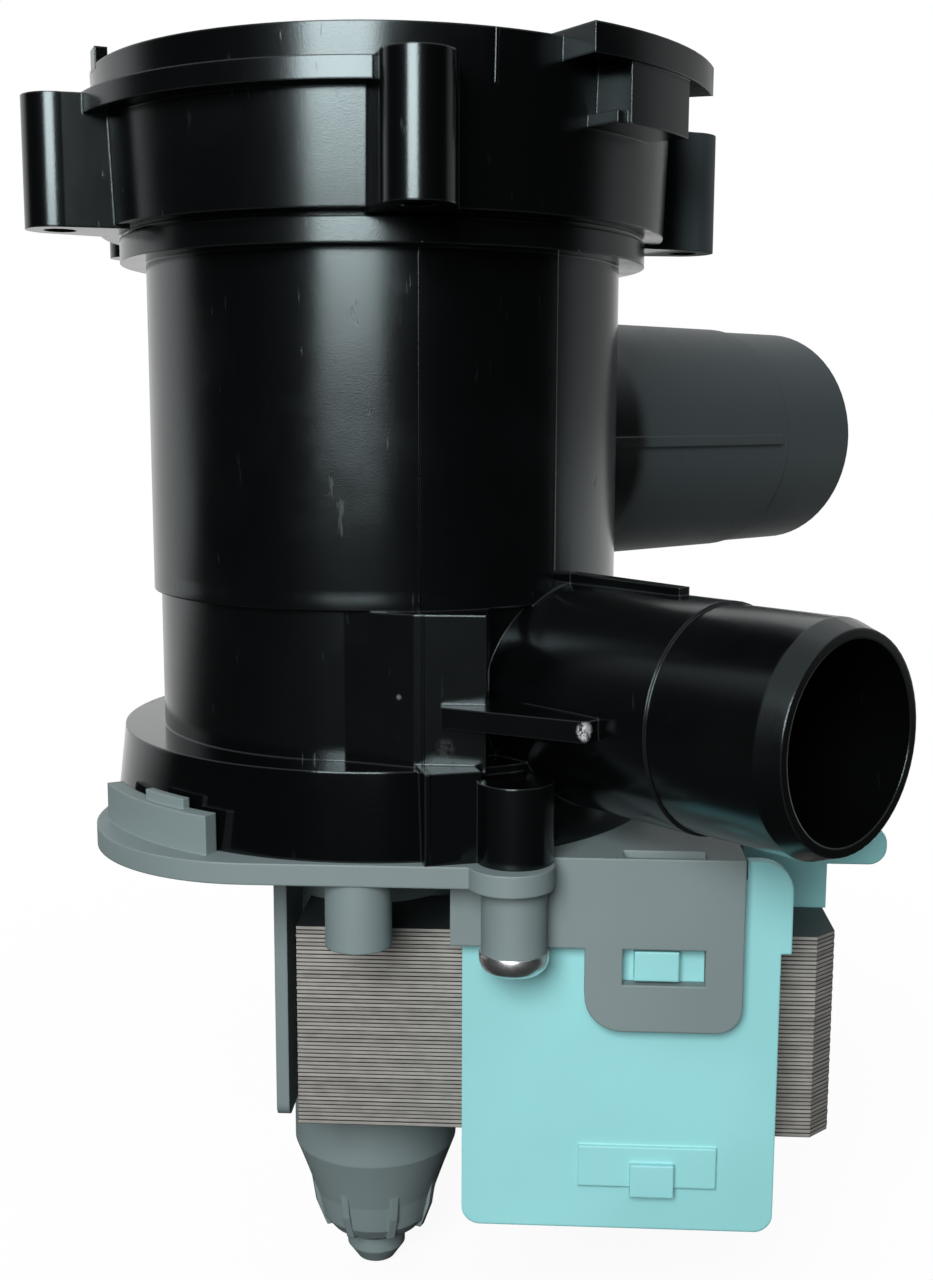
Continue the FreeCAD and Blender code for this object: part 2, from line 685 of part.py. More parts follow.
outline(end_wall, [
    ("-end_wall_half", "-plate_thickness / 2"), ("-end_wall_half", "-end_wall_bottom + end_wall_corner"),
    ("-(%s)" % corner, "-end_wall_bottom"), (corner, "-end_wall_bottom"),
    ("end_wall_half", "-end_wall_bottom + end_wall_corner"), ("end_wall_half", "-plate_thickness / 2")],
    {1: ("-(%s)" % corner, "-end_wall_bottom + end_wall_corner", 1),
     3: (corner, "-end_wall_bottom + end_wall_corner", 1)})
pad(flange, end_wall, "end_wall_thickness", "end_wall")
can = outline(new_sketch(flange, "can_profile", "XZ_Plane", ("rotor_x", "0", "0")), [
    ("0", "-nipple_bottom"), ("nipple_radius * 0.65", "-nipple_bottom"), ("nipple_radius", "-nipple_bottom + 2"),
    ("nipple_radius", "-nipple_top"), ("tail_low_radius * 0.82", "-nipple_top + 1.4"),
    ("tail_low_radius", "-tail_low"), ("tail_radius", "-tail_waist"), ("tail_ledge_radius", "-tail_ledge"),
    ("can_radius", "-can_shoulder"), ("can_radius", "-plate_thickness / 2"),
    ("0", "-plate_thickness / 2")])
revolve(flange, can, "rotor_can")
for k in range(int(val("tail_rib_count"))):
    rib = new_sketch(flange, "tail_rib_%d_profile" % (k + 1), "XZ_Plane", ("0", "0", "0"),
                     "%d * 360 / tail_rib_count + 22.5" % k)
    outline(rib, [("1", "-tail_low - 1.4"), ("tail_low_radius - 0.4", "-tail_low - 1.4"),
                  ("tail_rib_radius - 0.8", "-tail_low + 2"), ("tail_rib_radius", "-tail_ledge"),
                  ("1", "-tail_ledge")])
    rib.setExpression(".AttachmentOffset.Base.x", ex("rotor_x"))
    pad(flange, rib, "tail_rib_thickness", "tail_rib_%d" % (k + 1), both_sides=True)
cavity = outline(new_sketch(flange, "cavity_profile", "XZ_Plane", ("rotor_x", "0", "0")), [
    ("0", "1"), ("0", "-bearing_pocket_floor"), ("bearing_mount_radius + seat_clearance", "-bearing_pocket_floor"),
    ("bearing_mount_radius + seat_clearance", "-can_floor"), ("can_bore_radius", "-can_floor"),
    ("can_bore_radius", "-bearing_cover_flange"),
    ("bearing_cover_flange_radius + seat_clearance", "-bearing_cover_flange"),
    ("bearing_cover_flange_radius + seat_clearance", "1")])
groove(flange, cavity, "rotor_cavity")
rim = new_sketch(flange, "locating_rim_profile", "XY_Plane", ("0", "0", "-0.5"))
ring(rim, "volute_radius - locating_clearance - locating_rim_wall", "volute_radius - locating_clearance")
pad(flange, rim, "locating_rim_height + 0.5", "locating_rim")
seat = ring(new_sketch(flange, "gasket_groove_profile", "XY_Plane"), "gasket_inner", "gasket_outer")
pocket(flange, seat, "gasket_depth", "gasket_groove")
for side, sign in (("front", -1), ("rear", 1)):
    first, last = ("-clip_wall_end", "-clip_wall_start") if sign < 0 else ("clip_wall_start", "clip_wall_end")
    wall = new_sketch(flange, "clip_wall_%s_profile" % side, "XY_Plane", ("0", "0", "-0.5"))
    sector(wall, "clip_wall_inner", "clip_wall_outer", first, last)
    pad(flange, wall, "clip_wall_top + 0.5", "clip_wall_" + side)
    first, last = ("-clip_inner_end", "-clip_inner_start") if sign < 0 else ("clip_inner_start", "clip_inner_end")
    lip = new_sketch(flange, "clip_lip_%s_profile" % side, "XY_Plane", ("0", "0", "clip_wall_top - 0.5"))
    sector(lip, "clip_wall_inner", "clip_inner_outer", first, last)
    pad(flange, lip, "clip_inner_top - clip_wall_top + 0.5", "clip_lip_" + side)
for side, sign in (("front", "-"), ("rear", "")):
    hole = new_sketch(flange, "flange_%s_hole_profile" % side, "XY_Plane", ("0", "0", "1"))
    circle(hole, "flange_boss_x", sign + "flange_boss_y", "screw_radius + screw_clearance")
    pocket(flange, hole, "flange_boss_bottom + 2", "flange_%s_hole" % side)
    seat = new_sketch(flange, "head_%s_profile" % side, "XY_Plane", ("0", "0", "-flange_boss_bottom"))
    circle(seat, "flange_boss_x", sign + "flange_boss_y", "screw_head_radius + screw_head_clearance")
    pocket(flange, seat, "screw_head_height", "head_%s_room" % side)

# the flat gasket in the flange's groove, under the housing's base ring
gasket = new_body("housing_gasket")
section = new_sketch(gasket, "gasket_profile", "XY_Plane", ("0", "0", "-gasket_depth"))
ring(section, "gasket_inner + gasket_clearance", "gasket_outer - gasket_clearance")
pad(gasket, section, "gasket_depth", "gasket_ring")

# two pan-head screws through the flange's bosses into the housing
screws = new_body("housing_screws")
for side, sign in (("front", ""), ("rear", "-")):
    section = new_sketch(screws, "screw_%s_profile" % side, "XZ_Plane",
                         ("flange_boss_x", "0", sign + "flange_boss_y"))
    low = "-flange_boss_bottom - screw_head_height"
    outline(section, [
        ("0", low), ("screw_head_radius * 0.7", low), ("screw_head_radius", low + " + screw_head_height * 0.4"),
        ("screw_head_radius", "-flange_boss_bottom"), ("screw_radius", "-flange_boss_bottom"),
        ("screw_radius", "screw_depth"), ("0", "screw_depth")])
    revolve(screws, section, "screw_" + side)

# laminated core: a U-shaped stack of sheets, with the rotor's tunnel between its poles
core = new_body("stator_core")
stack_height = "lamination_pitch * lamination_count"
leg = "core_half_width - core_leg_width"
reach = "sqrt(pole_radius ^ 2 - (%s) ^ 2)" % leg
gap = "sqrt(pole_radius ^ 2 - (core_left - rotor_x) ^ 2)"
stack = new_sketch(core, "stack_profile", "XY_Plane", ("0", "0", "-stack_bottom"))
outline(stack, [
    ("core_left", "-core_half_width"), ("core_right - core_chamfer", "-core_half_width"),
    ("core_right", "-core_half_width + core_chamfer"), ("core_right", "core_half_width - core_chamfer"),
    ("core_right - core_chamfer", "core_half_width"), ("core_left", "core_half_width"),
    ("core_left", gap), ("rotor_x + " + reach, leg), ("core_right - core_yoke_width", leg),
    ("core_right - core_yoke_width", "-(%s)" % leg), ("rotor_x + " + reach, "-(%s)" % leg),
    ("core_left", "-" + gap)], {6: ("rotor_x", "0", -1), 10: ("rotor_x", "0", -1)})
pad(core, stack, stack_height, "stack")

# one bobbin and one winding on each leg, side by side in the coil cover
for side, sign in (("front", -1), ("rear", 1)):

    def across(inner, outer):
        """The two sides of a span away from the middle plane, lowest first."""
        return ("-(%s)" % outer, "-(%s)" % inner) if sign < 0 else (inner, outer)

    inner_face = "core_half_width - core_leg_width - bobbin_clearance"
    outer_face = "core_half_width + bobbin_clearance"
    inner_wall = inner_face + " - bobbin_wall"
    outer_wall = outer_face + " + bobbin_wall"
    low_face = "-stack_bottom - bobbin_clearance"
    high_face = "-core_top + bobbin_clearance"
    low_wall = low_face + " - bobbin_wall"
    high_wall = high_face + " + bobbin_wall"
    bobbin = new_body("bobbin_" + side)
    y0, y1 = across(inner_wall, outer_wall)
    tube = new_sketch(bobbin, "tube_profile", "YZ_Plane", ("0", "0", "bobbin_left"))
    box_outline(tube, y0, y1, low_wall, high_wall)
    pad(bobbin, tube, "bobbin_right - bobbin_left", "tube")
    for end, start in (("left", "bobbin_left"), ("right", "bobbin_right - bobbin_flange")):
        y0, y1 = across(inner_wall + " - winding_thickness - flange_overlap",
                        outer_wall + " + winding_thickness + flange_overlap")
        cheek = new_sketch(bobbin, "cheek_%s_profile" % end, "YZ_Plane", ("0", "0", start))
        box_outline(cheek, y0, y1, low_wall + " - winding_thickness - flange_overlap",
                    high_wall + " + winding_thickness + flange_overlap")
        pad(bobbin, cheek, "bobbin_flange", "cheek_" + end)
    y0, y1 = across(inner_face, outer_face)
    tunnel = new_sketch(bobbin, "tunnel_profile", "YZ_Plane", ("0", "0", "bobbin_right + 1"))
    box_outline(tunnel, y0, y1, low_face, high_face)
    pocket(bobbin, tunnel, "bobbin_right - bobbin_left + 2", "tunnel")

    winding = new_body("winding_" + side)
    y0, y1 = across(inner_wall + " - winding_thickness", outer_wall + " + winding_thickness")
    z0, z1 = low_wall + " - winding_thickness", high_wall + " + winding_thickness"
    turns = new_sketch(winding, "turns_profile", "YZ_Plane",
                       ("0", "0", "bobbin_left + bobbin_flange + winding_clearance"))
    box_outline(turns, y0, y1, z0, z1)
    length = "bobbin_right - bobbin_left - 2 * bobbin_flange - 2 * winding_clearance"
    pad(winding, turns, length, "turns")
    round_edges(winding, "turns_corners", "x", [(y0, z0), (y0, z1), (y1, z0), (y1, z1)], "winding_rounding")
    y0, y1 = across(inner_wall + " - winding_clearance", outer_wall + " + winding_clearance")
    tunnel = new_sketch(winding, "tunnel_profile", "YZ_Plane", ("0", "0", "bobbin_right"))
    box_outline(tunnel, y0, y1, low_wall + " - winding_clearance", high_wall + " + winding_clearance")
    pocket(winding, tunnel, "bobbin_right - bobbin_left", "tunnel")

# coil cover: a box pushed up from below, slotted for the core, with latches that catch in the tabs
cover = new_body("coil_cover")
shell = new_sketch(cover, "shell_profile", "XY_Plane", ("0", "0", "-cover_bottom"))
box_outline(shell, "cover_left", "cover_right", "-cover_half_width", "cover_half_width")
pad(cover, shell, "cover_bottom - cover_top", "shell")
round_edges(cover, "shell_corners", "y", [("cover_left", "-cover_bottom"), ("cover_right", "-cover_bottom")],
            "cover_corner")
hollow = new_sketch(cover, "hollow_profile", "XY_Plane")
box_outline(hollow, "cover_left + cover_wall", "cover_right - cover_wall", "-cover_half_width + cover_wall",
            "cover_half_width - cover_wall")
pocket(cover, hollow, "cover_bottom - cover_wall", "hollow")
passage = new_sketch(cover, "passage_profile", "YZ_Plane", ("0", "0", "cover_right + 1"))
box_outline(passage, "-core_half_width - cover_slot_clearance", "core_half_width + cover_slot_clearance",
            "-stack_bottom - cover_slot_clearance", "1")
pocket(cover, passage, "cover_right - cover_left + 2", "core_slots")
for side, face in (("front", "cover_half_width"), ("rear", "-cover_half_width")):
    inward = face + " - cover_wall" if side == "front" else face
    wing = new_sketch(cover, "wing_%s_profile" % side, "XZ_Plane", ("0", "0", inward))
    turn = ("wing_right - wing_corner", "-wing_top - wing_corner", 1)
    outline(wing, [
        ("wing_left", "-wing_bottom"), ("wing_right", "-wing_bottom"), ("wing_right", turn[1]),
        (turn[0], "-wing_top"), ("wing_left", "-wing_top")], {2: turn})
    pad(cover, wing, "cover_wall", "wing_" + side)
    outward = face + " - 0.3" if side == "front" else face
    for name, x0, x1, z0, z1, reach in (
            ("latch_nub", "nub_left", "nub_right", "-hood_bottom - window_height + nub_clearance",
             "-hood_bottom - nub_clearance", "nub_reach"),
            ("raised_bar", "bar_left", "bar_right", "-bar_bottom", "-bar_top", "bar_reach"),
            ("low_nub", "nub_left", "nub_right", "-low_nub_bottom", "-low_nub_top", "low_nub_reach")):
        start = outward if side == "front" else "%s - %s" % (face, reach)
        block = new_sketch(cover, "%s_%s_profile" % (name, side), "XZ_Plane", ("0", "0", start))
        box_outline(block, x0, x1, z0, z1)
        pad(cover, block, reach + " + 0.3", "%s_%s" % (name, side))

# terminal shroud on top of the yoke, with its insulated tab, and two spade terminals
shroud = new_body("terminal_shroud")
block = new_sketch(shroud, "block_profile", "XY_Plane", ("0", "0", "-core_top"))
box_outline(block, "shroud_left", "shroud_right", "-shroud_half_width", "shroud_half_width")
pad(shroud, block, "core_top - shroud_top", "block")
tongue = new_sketch(shroud, "tongue_profile", "XY_Plane", ("0", "0", "-shroud_tab_top - shroud_tab_thickness"))
box_outline(tongue, "shroud_right - 2", "shroud_tab_right", "-shroud_half_width", "shroud_half_width")
pad(shroud, tongue, "shroud_tab_thickness", "tongue")
round_edges(shroud, "tongue_corners", "y",
            [("shroud_tab_right", "-shroud_tab_top"), ("shroud_tab_right", "-shroud_tab_top - shroud_tab_thickness")],
            "shroud_tab_thickness * 0.45")
well = new_sketch(shroud, "well_profile", "XY_Plane", ("0", "0", "1"))
box_outline(well, "shroud_left + shroud_wall", "shroud_right - shroud_wall",
            "-shroud_half_width + shroud_wall", "shroud_half_width - shroud_wall")
pocket(shroud, well, "core_top - shroud_wall - shroud_seat + 1", "terminal_well")
for name, sign in (("terminal_line", "-"), ("terminal_neutral", "")):
    spade = new_body(name)
    middle = "%sspade_spacing / 2" % sign
    blade = new_sketch(spade, "blade_profile", "XZ_Plane", ("0", "0", "-(%s) - spade_thickness / 2" % middle))
    outline(blade, [
        ("shroud_left + shroud_wall + 0.3", "-core_top + shroud_wall + shroud_seat"),
        ("shroud_left + shroud_wall + 0.3 + spade_width", "-core_top + shroud_wall + shroud_seat"),
        ("shroud_left + shroud_wall + 0.3 + spade_width", "-core_top + shroud_wall + spade_length"),
        ("shroud_left + shroud_wall + 1.3 + spade_width - 2", "-core_top + shroud_wall + spade_length + 1"),
        ("shroud_left + shroud_wall + 1.3", "-core_top + shroud_wall + spade_length + 1"),
        ("shroud_left + shroud_wall + 0.3", "-core_top + shroud_wall + spade_length")])
    pad(spade, blade, "spade_thickness", "blade")

# rotor in its can: magnet, hub, shaft and the driver of the clutch
magnet = new_body("rotor_magnet", "rotor_x")
section = ring(new_sketch(magnet, "magnet_profile", "XY_Plane", ("0", "0", "-stack_bottom")),
               "hub_radius + seat_clearance", "magnet_radius")
pad(magnet, section, stack_height, "magnet")
hub = new_body("rotor_hub", "rotor_x")
section = outline(new_sketch(hub, "hub_profile", "XZ_Plane"), [
    ("shaft_radius + seat_clearance", "-hub_bottom"), ("hub_radius - 1.5", "-hub_bottom"),
    ("hub_radius - 1.5", "-hub_bottom + 1.5"), ("magnet_radius - 0.6", "-hub_bottom + 1.5"),
    ("magnet_radius - 0.6", "-stack_bottom"), ("hub_radius", "-stack_bottom"),
    ("hub_radius", "-hub_top"), ("shaft_radius + seat_clearance", "-hub_top")])
revolve(hub, section, "hub")
shaft = new_body("rotor_shaft", "rotor_x")
section = outline(new_sketch(shaft, "shaft_profile", "XZ_Plane"), [
    ("0", "-shaft_bottom"), ("shaft_radius", "-shaft_bottom"), ("shaft_radius", "shaft_top"), ("0", "shaft_top")])
revolve(shaft, section, "shaft")
washer = new_body("thrust_washer", "rotor_x")
section = ring(new_sketch(washer, "washer_profile", "XY_Plane", ("0", "0", "-hub_bottom - washer_thickness")),
               "shaft_radius + seat_clearance", "washer_radius")
pad(washer, section, "washer_thickness", "washer")

# the bearings in their rubber mounts, the bearing cover that closes the can, and its seals
rear_mount = new_body("rear_bearing_mount", "rotor_x")
section = outline(new_sketch(rear_mount, "mount_profile", "XZ_Plane"), [
    ("0", "-bearing_pocket_floor"), ("bearing_mount_radius", "-bearing_pocket_floor"),
    ("bearing_mount_radius", "-rear_bearing_top"), ("bearing_radius + seat_clearance", "-rear_bearing_top"),
    ("bearing_radius + seat_clearance", "-rear_bearing_top - bearing_length"),
    ("shaft_radius + 0.6", "-rear_bearing_top - bearing_length"),
    ("shaft_radius + 0.6", "-bearing_pocket_floor + bearing_mount_floor"),
    ("0", "-bearing_pocket_floor + bearing_mount_floor")])
revolve(rear_mount, section, "mount")
for name, top in (("rear_bearing", "-rear_bearing_top"), ("front_bearing", "-front_bearing_top")):
    bearing = new_body(name, "rotor_x")
    section = ring(new_sketch(bearing, "bearing_profile", "XY_Plane", ("0", "0", top + " - bearing_length")),
                   "shaft_radius + running_clearance", "bearing_radius")
    pad(bearing, section, "bearing_length", "bearing")
bearing_cover = new_body("bearing_cover", "rotor_x")
plug = "can_bore_radius - seat_clearance"
seal_top = "-bearing_cover_flange - cover_seal_top"
mount_bore = "bearing_mount_radius + seat_clearance"
section = outline(new_sketch(bearing_cover, "cover_profile", "XZ_Plane"), [
    ("shaft_seal_radius + seat_clearance", "0"), ("bearing_cover_flange_radius", "0"),
    ("bearing_cover_flange_radius", "-bearing_cover_flange"), (plug, "-bearing_cover_flange"),
    (plug, seal_top), (plug + " - cover_seal_section", seal_top),
    (plug + " - cover_seal_section", seal_top + " - cover_seal_section"),
    (plug, seal_top + " - cover_seal_section"), (plug, "-bearing_cover_plug"),
    (mount_bore, "-bearing_cover_plug"), (mount_bore, "-front_bearing_top + 0.4"),
    ("shaft_seal_radius + seat_clearance", "-front_bearing_top + 0.4")])
revolve(bearing_cover, section, "bearing_cover_ring")
front_mount = new_body("front_bearing_mount", "rotor_x")
section = ring(new_sketch(front_mount, "mount_profile", "XY_Plane",
                          ("0", "0", "-front_bearing_top - bearing_length")),
               "bearing_radius + seat_clearance", "bearing_mount_radius")
pad(front_mount, section, "bearing_length + 0.4", "mount")
cover_seal = new_body("bearing_cover_seal", "rotor_x")
section = outline(new_sketch(cover_seal, "seal_profile", "XZ_Plane"), [
    (plug + " - cover_seal_section + 0.05", seal_top + " - 0.1"),
    (plug + " - 0.02", seal_top + " - 0.1"),
    (plug + " - 0.02", seal_top + " - cover_seal_section + 0.1"),
    (plug + " - cover_seal_section + 0.05", seal_top + " - cover_seal_section + 0.1")])
revolve(cover_seal, section, "seal_ring")
shaft_seal = new_body("shaft_seal", "rotor_x")
section = outline(new_sketch(shaft_seal, "seal_profile", "XZ_Plane"), [
    ("shaft_radius + running_clearance", "-front_bearing_top + 0.4"),
    ("shaft_seal_radius", "-front_bearing_top + 0.4"), ("shaft_seal_radius", "0"),
    ("shaft_seal_radius - 0.8", "0"), ("shaft_radius + 0.9", "-shaft_seal_height + 0.5"),
    ("shaft_radius + running_clearance", "-shaft_seal_height + 0.5")])
revolve(shaft_seal, section, "shaft_seal_ring")

driver = new_body("clutch_driver", "rotor_x")
section = ring(new_sketch(driver, "driver_profile", "XY_Plane", ("0", "0", "clutch_bottom + driver_clearance")),
               "shaft_radius + seat_clearance", "driver_radius")
pad(driver, section, "clutch_top - clutch_bottom - 2 * driver_clearance", "sleeve")
arm = new_sketch(driver, "lug_profile", "XY_Plane", ("0", "0", "clutch_bottom + driver_clearance"))
sector(arm, "driver_radius - 0.5", "driver_lug_radius", "-driver_lug_angle / 2", "driver_lug_angle / 2")
pad(driver, arm, "clutch_top - clutch_bottom - 2 * driver_clearance", "lug")

impeller = new_body("impeller", "rotor_x")
section = outline(new_sketch(impeller, "impeller_profile", "XZ_Plane"), [
    ("shaft_radius + running_clearance", "impeller_bottom"), ("impeller_radius", "impeller_bottom"),
    ("impeller_radius", "impeller_bottom + impeller_disc"),
    ("impeller_hub_radius", "impeller_bottom + impeller_disc"),
    ("impeller_hub_radius", "clutch_top + impeller_cap_height"),
    ("clutch_bore_radius", "clutch_top + impeller_cap_height"), ("clutch_bore_radius", "clutch_bottom"),
    ("shaft_radius + running_clearance", "clutch_bottom")])
revolve(impeller, section, "disc_and_hub")
stop = new_sketch(impeller, "stop_profile", "XY_Plane", ("0", "0", "clutch_bottom - 0.3"))
sector(stop, "clutch_stop_radius", "clutch_bore_radius + 0.5", "180 - clutch_stop_angle / 2",
       "180 + clutch_stop_angle / 2")
pad(impeller, stop, "clutch_top - clutch_bottom + 0.3", "clutch_stop")
blade = new_sketch(impeller, "blade_profile", "XZ_Plane")
outline(blade, [
    ("impeller_hub_radius - 1", "impeller_bottom + 0.5"), ("impeller_radius - 0.2", "impeller_bottom + 0.5"),
    ("impeller_radius - 0.2", "blade_top - 3.5"), ("impeller_radius - 3.5", "blade_top"),
    ("impeller_hub_radius + 3", "blade_top"), ("impeller_hub_radius - 1", "clutch_top + 1.2")])
blade_pad = pad(impeller, blade, "blade_thickness", "blade", both_sides=True)
polar(impeller, blade_pad, "blade_count", "blades")
cap = new_body("impeller_cap", "rotor_x")
section = outline(new_sketch(cap, "cap_profile", "XZ_Plane"), [
    ("0", "clutch_top"), ("clutch_bore_radius - seat_clearance", "clutch_top"),
    ("clutch_bore_radius - seat_clearance", "clutch_top + impeller_cap_height"),
    ("clutch_bore_radius - 1.6", "clutch_top + impeller_cap_height + 1.6"),
    ("0", "clutch_top + impeller_cap_height + 1.6")])
revolve(cap, section, "cap")

# filter: screwed cap with a grip bar, seal under it, and the cage that hangs in the chamber
filter_cap = new_body("filter_cap")
section = outline(new_sketch(filter_cap, "cap_profile", "XZ_Plane"), [
    ("0", "cap_plate_bottom"), ("cap_skirt_inner", "cap_plate_bottom"), ("cap_skirt_inner", "cap_bottom"),
    ("cap_radius", "cap_bottom"), ("cap_radius", "cap_top"), ("cap_recess_radius", "cap_top"),
    ("cap_recess_radius", "cap_plate_bottom + cap_plate"), ("0", "cap_plate_bottom + cap_plate")])
revolve(filter_cap, section, "cap")
grip = new_sketch(filter_cap, "grip_profile", "XY_Plane", ("0", "0", "cap_plate_bottom + cap_plate - 0.5"))
box_outline(grip, "-grip_length / 2", "grip_length / 2", "-grip_width / 2", "grip_width / 2")
pad(filter_cap, grip, "cap_top - cap_plate_bottom - cap_plate + 0.5", "grip_bar", taper=3.0)
filter_seal = new_body("filter_seal")
section = ring(new_sketch(filter_seal, "seal_profile", "XY_Plane", ("0", "0", "cap_bottom - filter_seal_height")),
               "filter_seal_inner", "filter_seal_outer")
pad(filter_seal, section, "filter_seal_height", "seal")
cage = new_body("filter_cage")
section = outline(new_sketch(cage, "cage_profile", "XZ_Plane"), [
    ("cage_drain_radius", "cage_bottom"), ("cage_radius", "cage_bottom"), ("cage_radius", "cap_bottom - 0.4"),
    ("cage_top_radius", "cap_bottom - 0.4"), ("cage_top_radius", "cap_plate_bottom"),
    ("cage_radius - cage_wall", "cap_plate_bottom"), ("cage_radius - cage_wall", "cage_bottom + cage_floor"),
    ("cage_drain_radius", "cage_bottom + cage_floor")])
revolve(cage, section, "cage")
window = new_sketch(cage, "window_profile", "YZ_Plane", ("0", "0", "cage_radius + 1"))
box_outline(window, "-cage_window_width / 2", "cage_window_width / 2", "cage_window_bottom", "cage_window_top")
window_cut = pocket(cage, window, "cage_wall + 3", "window")
polar(cage, window_cut, "cage_window_count", "windows")

doc.recompute()
faults = []
for item in doc.Objects:
    if "Invalid" in item.State or "Error" in item.State:
        faults.append("%s: %s" % (item.Label, item.State))
for body in nodes:
    if body.Shape.isNull() or not body.Shape.isValid() or not body.Shape.Solids:
        faults.append(body.Label + ": bad shape")
if faults:
    raise RuntimeError("; ".join(faults))
for body in nodes:
    body.Shape.exportStep("parts/%s.step" % body.Label)
    box = body.Shape.BoundBox
    print("%-22s %d solid, %9.1f mm3, x %7.2f %7.2f  y %7.2f %7.2f  z %7.2f %7.2f" % (
        body.Label, len(body.Shape.Solids), body.Shape.Volume,
        box.XMin, box.XMax, box.YMin, box.YMax, box.ZMin, box.ZMax))
print(len(nodes), "pieces written")
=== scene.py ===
# %% [markdown]
# # Dressing a washing machine's drain pump
# The solids come from CAD in their real places and sizes. This notebook gives them the finish of
# the real mouldings, steel sheets, wire and rubber, adds the fine parts that a mould or a press
# leaves on them, and lights them as a small product shot. Each step first says what the real thing
# is and why it is made this way.

# %% The frame that everything hangs on
import math
import bpy
from mathutils import Matrix, Vector


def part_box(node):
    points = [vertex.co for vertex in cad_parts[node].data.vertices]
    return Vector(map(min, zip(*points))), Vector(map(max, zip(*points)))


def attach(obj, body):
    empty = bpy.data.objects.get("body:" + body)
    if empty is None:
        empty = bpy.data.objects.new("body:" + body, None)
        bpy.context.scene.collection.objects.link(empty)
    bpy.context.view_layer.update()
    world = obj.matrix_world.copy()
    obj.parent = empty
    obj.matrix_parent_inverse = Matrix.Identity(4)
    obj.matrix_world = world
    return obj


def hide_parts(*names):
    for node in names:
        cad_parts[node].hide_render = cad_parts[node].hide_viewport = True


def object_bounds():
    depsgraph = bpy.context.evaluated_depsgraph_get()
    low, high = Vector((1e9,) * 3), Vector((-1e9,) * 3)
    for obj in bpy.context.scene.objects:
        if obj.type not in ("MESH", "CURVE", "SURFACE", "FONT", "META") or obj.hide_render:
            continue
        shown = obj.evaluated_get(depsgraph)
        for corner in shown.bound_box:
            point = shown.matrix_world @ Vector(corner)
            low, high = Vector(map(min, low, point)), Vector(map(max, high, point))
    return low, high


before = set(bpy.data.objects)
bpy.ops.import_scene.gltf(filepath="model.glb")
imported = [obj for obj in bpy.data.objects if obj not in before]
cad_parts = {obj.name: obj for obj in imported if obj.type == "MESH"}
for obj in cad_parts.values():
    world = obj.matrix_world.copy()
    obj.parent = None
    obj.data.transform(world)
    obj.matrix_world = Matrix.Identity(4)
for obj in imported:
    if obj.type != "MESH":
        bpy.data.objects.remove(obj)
cad_box = [list(corner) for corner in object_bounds()]
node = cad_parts
MM = 0.001
JOINT_Z = -86.0
print("nodes:", len(node), "box:", [[round(v, 4) for v in corner] for corner in cad_box])


def level_at(height):
    """The Z in metres of a height in millimetres above the joint of housing and flange."""
    return (height + JOINT_Z) * MM


def spot(x, y, height):
    """A place in millimetres from the barrel's axis and the joint, in metres in the row's frame."""
    return Vector((x * MM, y * MM, level_at(height)))


# %% [markdown]
# ## Shader maths in plain Python
# A moulded or machined surface is described by a few masks: how rough, how scratched, how far from
# an edge. Writing them as expressions keeps them readable, so a small class wraps a socket and adds
# the Math nodes by itself.

# %% A number that changes over a surface
class Value:
    """An output socket; arithmetic on it adds Math nodes to its graph."""

    def __init__(self, graph, socket):
        self.graph, self.socket = graph, socket

    def combine(self, operation, other, swap=False):
        first, second = (other, self) if swap else (self, other)
        return self.graph.node("ShaderNodeMath", {"operation": operation}, {0: first, 1: second})

    def __add__(self, other): return self.combine("ADD", other)
    def __radd__(self, other): return self.combine("ADD", other, True)
    def __sub__(self, other): return self.combine("SUBTRACT", other)
    def __rsub__(self, other): return self.combine("SUBTRACT", other, True)
    def __mul__(self, other): return self.combine("MULTIPLY", other)
    def __rmul__(self, other): return self.combine("MULTIPLY", other, True)
    def __truediv__(self, other): return self.combine("DIVIDE", other)
    def __gt__(self, other): return self.combine("GREATER_THAN", other)


print("Value can:", [name for name, thing in vars(Value).items() if callable(thing)])

# %% [markdown]
# Materials and the room round the pump are both trees of nodes. What they share is one method that
# adds any node, and the smooth steps that most masks are made of.

# %% A tree of nodes under construction
class Graph:
    """Adds nodes to a tree; place is the coordinate that its patterns follow."""

    def __init__(self, tree, coordinate):
        self.tree, self.count = tree, 0
        self.place = self.node("ShaderNodeTexCoord", {}, {}, coordinate)

    def node(self, kind, settings, values, output=0):
        made = self.tree.nodes.new(kind)
        self.count += 1
        made.location = (-200 * (1 + self.count % 9), -160 * (self.count // 9))
        for key, setting in settings.items():
            setattr(made, key, setting)
        for key, value in values.items():
            self.feed(made.inputs[key], value)
        return Value(self, made.outputs[output])

    def feed(self, socket, value):
        if isinstance(value, Value):
            self.tree.links.new(value.socket, socket)
        else:
            socket.default_value = value

    def axis(self, letter):
        return self.node("ShaderNodeSeparateXYZ", {}, {"Vector": self.place}, "XYZ".index(letter))

    def between(self, value, low, high, out_low=0.0, out_high=1.0):
        """Goes smoothly from out_low to out_high as value goes from low to high."""
        return self.node("ShaderNodeMapRange", {"interpolation_type": "SMOOTHSTEP"}, {
            "Value": value, "From Min": low, "From Max": high,
            "To Min": out_low, "To Max": out_high})

    def light_path(self, ray):
        """1 for one kind of ray, such as Is Camera Ray."""
        return self.node("ShaderNodeLightPath", {}, {}, ray)


print("Graph can:", [name for name, thing in vars(Graph).items() if callable(thing)])

# %% [markdown]
# A finish then needs a few masks of its own: cloudy noise, a height on the pump, a distance from
# its axis, and the edges. The Bevel node rounds the normal at sharp edges, as mould and press leave
# them, and how far it leans from the true normal tells where those edges are.

